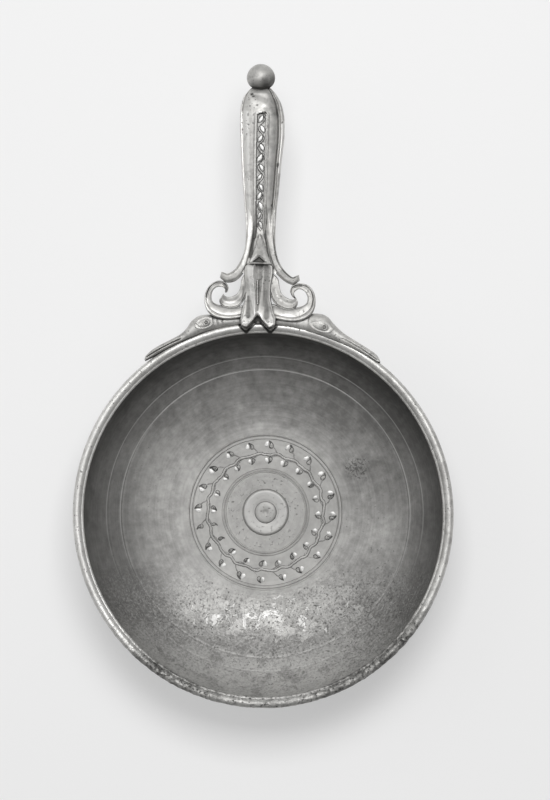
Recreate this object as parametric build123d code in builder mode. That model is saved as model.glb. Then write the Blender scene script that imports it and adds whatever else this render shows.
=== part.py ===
from build123d import *
from math import acos, asin, atan2, cos, degrees, pi, radians, sin, sqrt
import os

os.makedirs("parts", exist_ok=True)

# Bowl, in millimetres: a turned bronze vessel that rests on its foot ring at Z = 0
rim_radius = 101.0
rim_top = 52.0
lip_width = 5.5
lip_side = 2.6
lip_dome = 1.9
lip_ledge = 0.9
lip_underside = 0.6
wall = 1.6
floor_radius = 43.5
floor_height = 6.8
floor_thickness = 2.4
foot_radius = 48.5
foot_width = 4.6
foot_taper = 0.7
foot_rounding = 0.5
inner_turned_ring_radius = 16.0
outer_turned_ring_radius = 31.0
turned_ring_width = 1.8
turned_ring_height = 1.0
upper_line_radius = 84.3
lower_line_radius = 77.4
line_size = 0.35

# Boss and borders turned into the floor
button_radius = 6.0
button_height = 1.5
button_shoulder = 4.5
button_fall = 0.25
dimple_radius = 1.6
dimple_depth = 0.8
boss_radius = 12.6
boss_height = 1.0
boss_dish = 0.5
boss_edge = 0.9
inner_border_radius = 22.0
outer_border_radius = 40.6
border_width = 0.9
border_height = 0.35

# Ivy scroll inlaid in the floor
scroll_units = 20
inlay_depth = 0.5
inlay_proud = 0.08
stem_radius = 31.9
stem_width = 0.75
leaf_length = 4.1
leaf_half_width = 2.5
leaf_heel = 0.5
leaf_parting = 0.4
leaf_lobe_share = 0.2
leaf_bow_share = 0.68
leaf_bow_width_share = 0.55
outer_leaf_base = 35.5
inner_leaf_base = 28.9
stalk_turn = 14.5
stalk_width = 0.6
stalk_clearance = 0.3
stalk_bend_share = 0.62
stalk_bend_turn_share = 0.55
lost_outer_leaves = (10,)
lost_inner_leaves = (10, 11)

# Handle: it lies level with the rim, turned a little clockwise and shifted to the left
handle_lean = 1.2
handle_shift = -2.2
handle_reach = 1.7
grip_start = 39.0
grip_start_width = 16.2
grip_waist = 48.0
grip_waist_width = 15.5
grip_belly = 103.0
grip_belly_width = 23.5
grip_end = 122.6
grip_end_width = 9.4
grip_flank = 2.2
grip_dome = 4.4
grip_underside = 1.2
swell_sections = 4
end_sections = 4

# Channel along the grip, with its raised frame and its inlaid vine
channel_start = 52.0
channel_end = 109.8
channel_start_width = 3.7
channel_width = 4.6
channel_depth = 1.0
channel_offset = -0.5
frame_width = 1.3
frame_height = 0.55
channel_leaves = 12
channel_leaf_length = 3.6
channel_leaf_width = 1.5
channel_leaf_tilt = 22.0
channel_leaf_sway = 0.45
channel_leaf_thickness = 0.5
channel_leaf_start_share = 0.6
vine_start_share = 0.1
vine_swing = 1.35
vine_width = 0.4
vine_gap = 0.15
vine_thickness = 0.35

# Keeled leaf and its two lobes at the foot of the grip
keel_top = 44.0
keel_middle = 22.0
keel_foot = 5.0
keel_top_width = 7.0
keel_middle_width = 13.6
keel_foot_width = 14.0
keel_shift = -0.8
keel_height = 6.4
keel_edge = 3.8
keel_foot_height = 4.6
keel_foot_edge = 3.0
lobe_length = 17.8
lobe_width = 8.4
lobe_axis_height = 0.4
lobe_overhang = 3.3
lobe_spacing = 9.4
lobe_splay = 7.0
lobe_shoulder_share = 0.36

# Hooks, petals and volutes beside the leaf
band_crown = 1.3
hook_root = 46.0
hook_root_offset = 6.1
hook_bend = 26.2
hook_bend_offset = 10.9
hook_tip = 21.8
hook_tip_offset = 19.2
hook_width = 3.7
hook_height = 4.6
petal_top = 27.0
petal_side = 9.8
petal_shoulder = 20.8
petal_hollow = 13.4
petal_hollow_offset = 11.9
petal_tip = 11.4
petal_tip_offset = 18.6
petal_heel = 7.4
petal_low = 4.2
petal_height = 3.0
volute_offset = 20.6
volute_level = 10.8
volute_radius = 7.5
curl_radius = 3.1
volute_width = 4.2
volute_height = 4.2

# Clasp: the curved bar along the rim that ends in a swan's head at each side
solder_gap = 0.3
clasp_turn = -0.6
clasp_overlap = 1.2
clasp_sections = 16
arm_width = 6.6
arm_low = 5.0
arm_high = 1.4
arm_turn = 11.0
crown_turn = 17.6
crown_width = 10.4
crown_low = 5.6
crown_high = 1.9
brow_turn = 21.8
brow_width = 7.4
brow_low = 5.0
brow_high = 1.5
beak_turn = 25.5
beak_width = 4.6
beak_low = 4.0
beak_high = 0.8
tip_turn = 36.8
tip_width = 3.9
tip_low = 2.6
tip_high = 0.4
seam_height = 2.2
seam_turn = 33.0
swan_eye_turn = 16.8
swan_eye_inset = 4.6
swan_eye_radius = 1.5
swan_eye_line = 0.5
swan_eye_depth = 0.5

# Knob: a flattened ball on a tenon
knob_diameter = 15.0
knob_cap = 6.45
knob_cheek = 5.2
knob_seat_radius = 3.4
tenon_radius = 1.3
tenon_length = 9.0
tenon_clearance = 0.05

# Planes shared by several pieces
lean = radians(handle_lean)
handle_plane = Plane(
    origin=(handle_shift, rim_radius + handle_reach, rim_top),
    x_dir=(cos(lean), -sin(lean), 0),
    z_dir=(0, 0, 1),
)
floor_plane = Plane.XY.offset(floor_height)
pocket_plane = Plane.XY.offset(floor_height - inlay_depth)

# Levels and radii that follow from the bowl's own sizes
lip_inner = rim_radius - lip_width
lip_level = rim_top - lip_dome
lip_low = lip_level - lip_side
dome_middle = (lip_inner + lip_ledge + rim_radius) / 2
wall_level = lip_low + lip_underside
inner_half_width = lip_inner - floor_radius
inner_depth = wall_level - floor_height
underside = floor_height - floor_thickness
outer_half_width = inner_half_width + wall
outer_depth = wall_level - underside
unit_angle = 360 / scroll_units
envelope_radius = rim_radius + solder_gap


def inner_wall_height(radius):
    """Height of the bowl's inner wall at a radius between the floor and the lip."""
    share = (radius - floor_radius) / inner_half_width
    return wall_level - inner_depth * sqrt(1 - share * share)


def grip_width(station):
    """Width of the grip: it swells from the waist to the belly and rounds off to the end."""
    if station < grip_waist:
        share = (grip_waist - station) / (grip_waist - grip_start)
        return grip_waist_width + (grip_start_width - grip_waist_width) * share**2
    if station < grip_belly:
        share = (station - grip_waist) / (grip_belly - grip_waist)
        return grip_waist_width + (grip_belly_width - grip_waist_width) * (1 - cos(pi * share)) / 2
    fall = sqrt(1 - (grip_end_width / grip_belly_width) ** 2)
    share = fall * (station - grip_belly) / (grip_end - grip_belly)
    return grip_belly_width * sqrt(1 - share * share)


def grip_top(station):
    """Height of the grip's crest over the rim."""
    return grip_flank + grip_dome * grip_width(station) / grip_belly_width


def grip_bottom(station):
    """Depth of the grip's rounded back below the rim."""
    return grip_underside * grip_width(station) / grip_belly_width


def across_handle(station):
    """Plane across the handle, a station's length out from its foot, facing the bowl."""
    return Plane(handle_plane * Pos(0, station, 0) * Rot(90, 0, 0))


def across_clasp(turn):
    """Radial plane at an angle to the right of the clasp's middle."""
    angle = radians(turn + clasp_turn)
    outwards = (sin(angle), cos(angle), 0)
    return Plane(origin=(0, 0, rim_top), x_dir=outwards, z_dir=(cos(angle), -sin(angle), 0))


# Channel: its floor falls a little towards the waist, and its inlays lie on that floor
channel_length = channel_end - channel_start
channel_start_level = grip_top(channel_start) - channel_depth
channel_end_level = grip_top(channel_end) - channel_depth
channel_pitch = degrees(atan2(channel_end_level - channel_start_level, channel_length))
channel_plane = Plane(
    handle_plane * Pos(channel_offset, channel_start, channel_start_level) * Rot(channel_pitch, 0, 0)
)


def leaf_half(side):
    """One half of an ivy leaf that points along +X, on the given side of its midrib."""
    middle = side * leaf_parting / 2
    with BuildSketch(mode=Mode.PRIVATE) as half:
        with BuildLine():
            base = (0, middle)
            tip = (leaf_length, middle)
            lobe = (leaf_length * leaf_lobe_share, side * leaf_half_width)
            bow = side * leaf_half_width * leaf_bow_width_share
            Line(base, tip)
            ThreePointArc(tip, (leaf_length * leaf_bow_share, bow), lobe)
            ThreePointArc(lobe, (-leaf_heel, bow), base)
        make_face()
    return half.sketch


def leaf_row(base_radius, facing, side, lost=()):
    """A ring of leaf halves: facing 0 points them outwards, 180 inwards."""
    with BuildSketch(mode=Mode.PRIVATE) as row:
        for unit in range(scroll_units):
            if unit in lost:
                continue
            turn = unit * unit_angle + stalk_turn
            with Locations(Rot(0, 0, turn) * Pos(base_radius, 0) * Rot(0, 0, facing)):
                add(leaf_half(side))
    return row.sketch


def stalk(end_radius):
    """A stalk that leaves the stem and bends over to the base of its leaf."""
    turn = radians(stalk_turn)
    start = (stem_radius, 0)
    end = (end_radius * cos(turn), end_radius * sin(turn))
    bend_radius = stem_radius + (end_radius - stem_radius) * stalk_bend_share
    bend_turn = turn * stalk_bend_turn_share
    bend = (bend_radius * cos(bend_turn), bend_radius * sin(bend_turn))
    with BuildSketch(mode=Mode.PRIVATE) as shape:
        with BuildLine():
            ThreePointArc(start, bend, end)
        trace(line_width=stalk_width)
    return shape.sketch


def stem_scroll():
    """The stem's ring with the stalks of both rows of leaves."""
    margin = leaf_heel + stalk_clearance + stalk_width / 2
    with BuildSketch(mode=Mode.PRIVATE) as scroll:
        Circle(stem_radius + stem_width / 2)
        Circle(stem_radius - stem_width / 2, mode=Mode.SUBTRACT)
        with PolarLocations(0, scroll_units):
            add(stalk(outer_leaf_base - margin))
            add(stalk(inner_leaf_base + margin))
    return scroll.sketch


outer_light_places = leaf_row(outer_leaf_base, 0, 1)
outer_dark_places = leaf_row(outer_leaf_base, 0, -1)
inner_light_places = leaf_row(inner_leaf_base, 180, -1)
inner_dark_places = leaf_row(inner_leaf_base, 180, 1)
stem_place = stem_scroll()

# Bowl: wall, lip and foot in one outline, turned about the Z axis
with BuildPart() as bowl:
    with BuildSketch(Plane.XZ):
        with BuildLine():
            wall_centre = (floor_radius, wall_level)
            foot_start = -degrees(acos((foot_radius - floor_radius) / outer_half_width))
            lip_start = -degrees(asin(lip_underside / outer_depth))
            inner_wall = EllipticalCenterArc(
                wall_centre, inner_half_width, inner_depth, start_angle=-90, arc_size=90
            )
            outer_wall = EllipticalCenterArc(
                wall_centre,
                outer_half_width,
                outer_depth,
                start_angle=foot_start,
                arc_size=lip_start - foot_start,
            )
            Polyline(inner_wall @ 1, (lip_inner, lip_level), (lip_inner + lip_ledge, lip_level))
            ThreePointArc((lip_inner + lip_ledge, lip_level), (dome_middle, rim_top), (rim_radius, lip_level))
            Polyline((rim_radius, lip_level), (rim_radius, lip_low), outer_wall @ 1)
            Polyline(
                outer_wall @ 0,
                (foot_radius - foot_taper, 0),
                (foot_radius - foot_width + foot_taper, 0),
                (foot_radius - foot_width, underside),
                (0, underside),
                (0, floor_height),
                inner_wall @ 0,
            )
        make_face()
    revolve(axis=Axis.Z)
    fillet(bowl.edges().group_by(Axis.Z)[0], radius=foot_rounding)
    # Boss, button and dimple in the middle of the floor
    with BuildSketch(Plane.XZ):
        with BuildLine():
            button_top = floor_height + button_height
            boss_top = floor_height + boss_height
            button_foot = (button_radius, boss_top - boss_dish)
            boss_lip = (boss_radius - boss_edge, boss_top)
            dish_middle = ((button_radius + boss_radius) / 2, boss_top - boss_dish)
            Polyline(
                (boss_radius, floor_height),
                (boss_radius, underside + floor_thickness / 2),
                (0, underside + floor_thickness / 2),
                (0, button_top - dimple_depth),
                (dimple_radius, button_top),
            )
            button_bow = (button_shoulder, button_top - button_fall)
            ThreePointArc((dimple_radius, button_top), button_bow, button_foot)
            ThreePointArc(button_foot, dish_middle, boss_lip)
            Line(boss_lip, (boss_radius, floor_height))
        make_face()
    revolve(axis=Axis.Z)
    # Raised borders of the scroll, and turned rings under the floor
    with BuildSketch(Plane.XZ):
        with Locations((inner_border_radius, floor_height), (outer_border_radius, floor_height)):
            Rectangle(border_width, 2 * border_height)
        with Locations((inner_turned_ring_radius, underside), (outer_turned_ring_radius, underside)):
            Rectangle(turned_ring_width, 2 * turned_ring_height)
    revolve(axis=Axis.Z)
    # Two fine turned lines round the inner wall
    with BuildSketch(Plane.XZ):
        with Locations(
            (upper_line_radius, inner_wall_height(upper_line_radius)),
            (lower_line_radius, inner_wall_height(lower_line_radius)),
        ):
            Circle(line_size)
    revolve(axis=Axis.Z, mode=Mode.SUBTRACT)
    # Pockets for the inlays
    with BuildSketch(floor_plane):
        for places in (outer_light_places, outer_dark_places, inner_light_places, inner_dark_places):
            add(places)
        add(stem_place)
    extrude(amount=-inlay_depth, mode=Mode.SUBTRACT)
bowl.part.label = "bowl"
export_step(bowl.part, "parts/bowl.step")

# Inlays: each fills its pocket and stands a hair proud
with BuildPart() as outer_silver_leaves:
    with BuildSketch(pocket_plane):
        add(leaf_row(outer_leaf_base, 0, 1, lost_outer_leaves))
    extrude(amount=inlay_depth + inlay_proud)
outer_silver_leaves.part.label = "outer_silver_leaves"
export_step(outer_silver_leaves.part, "parts/outer_silver_leaves.step")

with BuildPart() as inner_silver_leaves:
    with BuildSketch(pocket_plane):
        add(leaf_row(inner_leaf_base, 180, -1, lost_inner_leaves))
    extrude(amount=inlay_depth + inlay_proud)
inner_silver_leaves.part.label = "inner_silver_leaves"
export_step(inner_silver_leaves.part, "parts/inner_silver_leaves.step")

with BuildPart() as outer_dark_leaves:
    with BuildSketch(pocket_plane):
        add(outer_dark_places)
    extrude(amount=inlay_depth)
outer_dark_leaves.part.label = "outer_dark_leaves"
export_step(outer_dark_leaves.part, "parts/outer_dark_leaves.step")

with BuildPart() as inner_dark_leaves:
    with BuildSketch(pocket_plane):
        add(inner_dark_places)
    extrude(amount=inlay_depth)
inner_dark_leaves.part.label = "inner_dark_leaves"
export_step(inner_dark_leaves.part, "parts/inner_dark_leaves.step")

with BuildPart() as ivy_stem:
    with BuildSketch(pocket_plane):
        add(stem_place)
    extrude(amount=inlay_depth)
ivy_stem.part.label = "ivy_stem"
export_step(ivy_stem.part, "parts/ivy_stem.step")


def petal(side):
    """Petal between the leaf and the volute, as a plan outline."""
    top = (0, petal_top)
    shoulder = (side * petal_side, petal_shoulder)
    hollow = (side * petal_hollow_offset, petal_hollow)
    tip = (side * petal_tip_offset, petal_tip)
    heel = (side * petal_tip_offset, petal_heel)
    low = (side * (petal_side + petal_tip_offset) / 2, petal_low)
    root = (0, petal_low)
    with BuildSketch(mode=Mode.PRIVATE) as shape:
        with BuildLine():
            Polyline(root, top, shoulder)
            ThreePointArc(shoulder, hollow, tip)
            Line(tip, heel)
            ThreePointArc(heel, low, root)
        make_face()
    return shape.sketch


def band_section(path, width, height):
    """Upright section with a rounded top at the start of a path that lies level with the rim."""
    along = path % 0
    start = Plane(origin=path @ 0, x_dir=Vector(0, 0, 1).cross(along), z_dir=along)
    with BuildSketch(start, mode=Mode.PRIVATE) as section:
        with BuildLine():
            left = (-width / 2, height - band_crown)
            right = (width / 2, height - band_crown)
            ThreePointArc(left, (0, height), right)
            Polyline(right, (width / 2, 0), (-width / 2, 0), left)
        make_face()
    return section.sketch


def hook(side):
    """Curled end of the grip's flank: a rounded band with a round tip."""
    tip = (side * hook_tip_offset, hook_tip)
    with BuildPart(mode=Mode.PRIVATE) as shape:
        with BuildLine(handle_plane) as path:
            ThreePointArc((side * hook_root_offset, hook_root), (side * hook_bend_offset, hook_bend), tip)
        add(band_section(path.line, hook_width, hook_height))
        sweep(path=path.line)
        with BuildSketch(handle_plane):
            with Locations(tip):
                Circle(hook_width / 2)
        extrude(amount=hook_height - band_crown)
    return shape.part


def volute(side):
    """Curled band that runs out from under the leaf and rolls up beside it."""
    top = volute_level + volute_radius
    curl_turn = curl_radius * sin(pi / 4)
    with BuildPart(mode=Mode.PRIVATE) as shape:
        with BuildLine(handle_plane) as path:
            low = volute_level - volute_radius
            Line((0, low), (side * volute_offset, low))
            ThreePointArc(
                (side * volute_offset, low),
                (side * (volute_offset + volute_radius), volute_level),
                (side * volute_offset, top),
            )
            ThreePointArc(
                (side * volute_offset, top),
                (side * (volute_offset - curl_turn), top - curl_radius + curl_turn),
                (side * (volute_offset - curl_radius), top - curl_radius),
            )
        add(band_section(path.line, volute_width, volute_height))
        sweep(path=path.line)
    return shape.part


def lobe(side):
    """Swelling end of the leaf over the rim: a drop turned about its own axis."""
    low = -lobe_overhang
    turn = Rot(0, 0, side * lobe_splay)
    place = handle_plane * Pos(side * lobe_spacing / 2, low + lobe_width / 2, lobe_axis_height) * turn
    with BuildPart(mode=Mode.PRIVATE) as shape:
        with BuildSketch(Plane(place)):
            with BuildLine():
                bottom = (0, -lobe_width / 2)
                top = (0, lobe_length - lobe_width / 2)
                widest = (lobe_width / 2, 0)
                shoulder = (lobe_width * lobe_shoulder_share, lobe_length * lobe_shoulder_share)
                ThreePointArc(bottom, (lobe_width / 2 * sin(pi / 4), -lobe_width / 2 * cos(pi / 4)), widest)
                ThreePointArc(widest, shoulder, top)
                Line(top, bottom)
            make_face()
        revolve(axis=Axis(Plane(place).origin, Plane(place).y_dir))
        split(bisect_by=handle_plane, keep=Keep.TOP)
    return shape.part


def keel_section(station, width, height, edge):
    """Section of the keeled leaf: two slopes that meet in a ridge."""
    with BuildSketch(across_handle(station), mode=Mode.PRIVATE) as section:
        with BuildLine():
            Polyline(
                (-width / 2, 0),
                (width / 2, 0),
                (width / 2, edge),
                (keel_shift, height),
                (-width / 2, edge),
                close=True,
            )
        make_face()
    return section.sketch


# Handle: grip, leaf, lobes, hooks, petals and volutes in one casting
knob_level = (grip_top(grip_end) - grip_bottom(grip_end)) / 2
with BuildPart() as handle:
    for side in (-1, 1):
        with BuildSketch(handle_plane):
            add(petal(side))
        extrude(amount=petal_height)
        add(volute(side))
        add(hook(side))
    add(keel_section(keel_top, keel_top_width, grip_top(keel_top), keel_edge))
    add(keel_section(keel_middle, keel_middle_width, keel_height, keel_edge))
    add(keel_section(keel_foot, keel_foot_width, keel_foot_height, keel_foot_edge))
    loft()
    for side in (-1, 1):
        add(lobe(side))
    # Grip: rounded sections from its root to the knob's seat
    stations = [grip_start, (grip_start + grip_waist) / 2]
    for step in range(swell_sections):
        stations.append(grip_waist + (grip_belly - grip_waist) * step / swell_sections)
    for step in range(end_sections + 1):
        stations.append(grip_belly + (grip_end - grip_belly) * sin(pi / 2 * step / end_sections))
    for station in stations:
        half = grip_width(station) / 2
        with BuildSketch(across_handle(station)):
            with BuildLine():
                ThreePointArc((-half, 0), (0, -grip_bottom(station)), (half, 0))
                Line((half, 0), (half, grip_flank))
                ThreePointArc((half, grip_flank), (0, grip_top(station)), (-half, grip_flank))
                Line((-half, grip_flank), (-half, 0))
            make_face()
    loft()
    # Frame and channel
    with BuildSketch(channel_plane):
        with BuildLine():
            left_low = (-channel_start_width / 2, 0)
            left_high = (-channel_width / 2, channel_length - channel_width / 2)
            right_high = (channel_width / 2, channel_length - channel_width / 2)
            right_low = (channel_start_width / 2, 0)
            Line(left_low, left_high)
            ThreePointArc(left_high, (0, channel_length), right_high)
            Polyline(right_high, right_low, left_low)
        make_face()
        offset(amount=frame_width, kind=Kind.ARC)
    extrude(amount=channel_depth + frame_height)
    with BuildSketch(channel_plane):
        with BuildLine():
            Line(left_low, left_high)
            ThreePointArc(left_high, (0, channel_length), right_high)
            Polyline(right_high, right_low, left_low)
        make_face()
    extrude(amount=2 * (channel_depth + frame_height), mode=Mode.SUBTRACT)
    # Bore for the knob's tenon
    with BuildSketch(across_handle(grip_end)):
        with Locations((0, knob_level)):
            Circle(tenon_radius + tenon_clearance)
    extrude(amount=tenon_length + tenon_clearance, mode=Mode.SUBTRACT)
handle.part.label = "handle"
export_step(handle.part, "parts/handle.step")

# Knob: a ball of two flat caps and a rounder cheek, with a tenon, turned about the handle's axis
cheek_inset = knob_diameter / 2 - knob_cheek
cap_radius = (cheek_inset**2 + knob_cap**2 - knob_cheek**2) / (2 * (knob_cap - knob_cheek))
cheek_level = sqrt(cap_radius**2 - knob_seat_radius**2) - cap_radius + knob_cap
join_angle = atan2(cap_radius - knob_cap, cheek_inset)
join_offset = cap_radius * cos(join_angle)
join_rise = knob_cheek * sin(join_angle)
knob_plane = Plane(handle_plane * Pos(0, grip_end, knob_level))
with BuildPart() as knob:
    with BuildSketch(knob_plane):
        with BuildLine():
            seat_edge = (knob_seat_radius, 0)
            lower_join = (join_offset, cheek_level - join_rise)
            upper_join = (join_offset, cheek_level + join_rise)
            pole = (0, cheek_level + knob_cap)
            cap_centre = pole[1] - cap_radius
            cap_share = radians(90) - join_angle
            cap_middle = (cap_radius * sin(cap_share / 2), cap_centre + cap_radius * cos(cap_share / 2))
            lower_middle = radians(90) - (cap_share + asin(knob_seat_radius / cap_radius)) / 2
            lower_centre = 2 * cheek_level - cap_centre
            under_middle = (cap_radius * cos(lower_middle), lower_centre - cap_radius * sin(lower_middle))
            ThreePointArc(seat_edge, under_middle, lower_join)
            ThreePointArc(lower_join, (knob_diameter / 2, cheek_level), upper_join)
            ThreePointArc(upper_join, cap_middle, pole)
            Polyline(pole, (0, -tenon_length), (tenon_radius, -tenon_length), (tenon_radius, 0), seat_edge)
        make_face()
    revolve(axis=Axis(knob_plane.origin, knob_plane.y_dir))
knob.part.label = "knob"
export_step(knob.part, "parts/knob.step")

# Silver leaves and dark vine in the channel of the grip
leaf_pitch = channel_length / (channel_leaves + 0.5)
with BuildSketch() as channel_leaf:
    with BuildLine():
        lower_tip = (0, -channel_leaf_length / 2)
        upper_tip = (0, channel_leaf_length / 2)
        ThreePointArc(lower_tip, (channel_leaf_width / 2, 0), upper_tip)
        ThreePointArc(upper_tip, (-channel_leaf_width / 2, 0), lower_tip)
    make_face()

with BuildSketch() as channel_leaf_places:
    for index in range(channel_leaves):
        side = 1 if index % 2 else -1
        along = leaf_pitch * (index + channel_leaf_start_share)
        place = Pos(side * channel_leaf_sway, along) * Rot(0, 0, -side * channel_leaf_tilt)
        with Locations(place):
            add(channel_leaf.sketch)

with BuildPart() as grip_silver_leaves:
    with BuildSketch(channel_plane):
        add(channel_leaf_places.sketch)
    extrude(amount=channel_leaf_thickness)
grip_silver_leaves.part.label = "grip_silver_leaves"
export_step(grip_silver_leaves.part, "parts/grip_silver_leaves.step")

with BuildPart() as grip_vine:
    with BuildSketch(channel_plane):
        with BuildLine():
            swings = [(0, leaf_pitch * vine_start_share)]
            for index in range(channel_leaves):
                side = 1 if index % 2 else -1
                swings.append((-side * vine_swing, leaf_pitch * (index + channel_leaf_start_share)))
            Spline(*swings)
        trace(line_width=vine_width)
        offset(channel_leaf_places.sketch, amount=vine_gap, mode=Mode.SUBTRACT)
    extrude(amount=vine_thickness)
grip_vine.part.label = "grip_vine"
export_step(grip_vine.part, "parts/grip_vine.step")


def clasp_shape(turn):
    """Width, depth below and height above the rim of the clasp at an angle from its middle."""
    stages = (
        (arm_turn, arm_width, arm_low, arm_high),
        (crown_turn, crown_width, crown_low, crown_high),
        (brow_turn, brow_width, brow_low, brow_high),
        (beak_turn, beak_width, beak_low, beak_high),
        (tip_turn, tip_width, tip_low, tip_high),
    )
    if abs(turn) <= arm_turn:
        return stages[0][1:]
    for before, after in zip(stages, stages[1:]):
        if abs(turn) <= after[0]:
            share = (abs(turn) - before[0]) / (after[0] - before[0])
            blend = (1 - cos(pi * share)) / 2
            return tuple(low + (high - low) * blend for low, high in zip(before[1:], after[1:]))
    return stages[-1][1:]


def clasp_section(turn):
    """Section of the clasp: flat on the bowl's side, half an ellipse outside."""
    inner = rim_radius - clasp_overlap
    width, low, high = clasp_shape(turn)
    with BuildSketch(across_clasp(turn), mode=Mode.PRIVATE) as section:
        with BuildLine():
            middle = (inner, (high - low) / 2)
            outside = EllipticalCenterArc(middle, width, (high + low) / 2, start_angle=-90, arc_size=180)
            Line(outside @ 1, outside @ 0)
        make_face()
    return section.sketch


# Clasp: one bar with both heads, cut to the lip's outside less the solder
with BuildPart() as swan_clasp:
    for step in range(-clasp_sections, clasp_sections + 1):
        add(clasp_section(tip_turn * step / clasp_sections))
    loft(ruled=True)
    # Room for the bowl's lip
    with BuildSketch(Plane.XZ):
        with BuildLine():
            dome_start = (envelope_radius, lip_level)
            dome_end = (lip_inner + lip_ledge - solder_gap, lip_level)
            ThreePointArc(dome_start, (dome_middle, rim_top + solder_gap), dome_end)
            Polyline(
                dome_end,
                (dome_end[0], rim_top - 2 * crown_low),
                (envelope_radius, rim_top - 2 * crown_low),
                dome_start,
            )
        make_face()
    revolve(axis=Axis.Z, mode=Mode.SUBTRACT)
    # Flat seat for the leaf and the volutes
    with BuildSketch(handle_plane.offset(-solder_gap)):
        seat_reach = volute_offset + volute_radius + volute_width / 2 + solder_gap
        Rectangle(2 * seat_reach, 2 * seat_reach)
    extrude(amount=2 * crown_high + solder_gap, mode=Mode.SUBTRACT)
    # Engraved ring of each eye
    for side in (-1, 1):
        eye_place = across_clasp(side * swan_eye_turn)
        eye_centre = eye_place.origin + eye_place.x_dir * (rim_radius + swan_eye_inset)
        with BuildSketch(Plane.XY.offset(rim_top + crown_high - 2 * swan_eye_depth)):
            with Locations((eye_centre.X, eye_centre.Y)):
                Circle(swan_eye_radius)
                Circle(swan_eye_radius - swan_eye_line, mode=Mode.SUBTRACT)
        extrude(amount=crown_high + swan_eye_depth, mode=Mode.SUBTRACT)
swan_clasp.part.label = "swan_clasp"
export_step(swan_clasp.part, "parts/swan_clasp.step")

# Solder seam between the clasp and the side of the lip
with BuildPart() as rim_solder:
    with BuildSketch(across_clasp(-seam_turn)):
        with Locations((rim_radius + solder_gap / 2, lip_level - rim_top - lip_side / 2)):
            Rectangle(solder_gap, seam_height)
    revolve(axis=Axis.Z, revolution_arc=-2 * seam_turn)
rim_solder.part.label = "rim_solder"
export_step(rim_solder.part, "parts/rim_solder.step")

# Solder bed between the clasp's flat seat and the handle
with BuildPart() as handle_solder:
    seat_faces = swan_clasp.faces().filter_by(Plane.XY).group_by(Axis.Z)[0]
    foot_faces = handle.faces().filter_by(Plane.XY).group_by(Axis.Z)[0]
    extrude(to_extrude=foot_faces, amount=solder_gap, dir=(0, 0, -1))
    extrude(to_extrude=seat_faces, amount=solder_gap, dir=(0, 0, 1), mode=Mode.INTERSECT)
handle_solder.part.label = "handle_solder"
export_step(handle_solder.part, "parts/handle_solder.step")
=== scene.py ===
from math import acos, cos, exp, pi, radians, sin, sqrt

import bmesh
import bpy
import numpy as np
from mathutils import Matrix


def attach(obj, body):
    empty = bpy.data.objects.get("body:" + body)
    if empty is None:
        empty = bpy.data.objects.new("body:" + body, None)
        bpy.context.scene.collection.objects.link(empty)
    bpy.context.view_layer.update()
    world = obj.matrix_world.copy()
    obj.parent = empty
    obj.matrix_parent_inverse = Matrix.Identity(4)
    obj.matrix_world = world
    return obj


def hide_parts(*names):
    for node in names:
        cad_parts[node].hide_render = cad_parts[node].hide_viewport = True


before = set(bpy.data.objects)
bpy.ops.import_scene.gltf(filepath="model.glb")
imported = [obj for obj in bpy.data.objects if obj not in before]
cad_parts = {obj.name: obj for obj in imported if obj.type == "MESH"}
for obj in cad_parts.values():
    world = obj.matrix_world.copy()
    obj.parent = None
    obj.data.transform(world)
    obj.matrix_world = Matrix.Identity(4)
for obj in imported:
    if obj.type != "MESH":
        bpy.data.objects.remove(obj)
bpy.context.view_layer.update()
mm = 0.001
rimTop = 52.0


class Value:
    def __init__(self, tree, socket):
        self.tree = tree
        self.socket = socket

    def math(self, operation, *others):
        return self.tree.node("ShaderNodeMath", {"operation": operation}, {i: v for i, v in enumerate((self, *others))})

    def __add__(self, other): return self.math("ADD", other)
    def __radd__(self, other): return self.math("ADD", other)
    def __sub__(self, other): return self.math("SUBTRACT", other)
    def __rsub__(self, other): return self.tree.number(other).math("SUBTRACT", self)
    def __mul__(self, other): return self.math("MULTIPLY", other)
    def __rmul__(self, other): return self.math("MULTIPLY", other)
    def __truediv__(self, other): return self.math("DIVIDE", other)
    def __rtruediv__(self, other): return self.tree.number(other).math("DIVIDE", self)
    def __pow__(self, other): return self.math("POWER", other)


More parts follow.
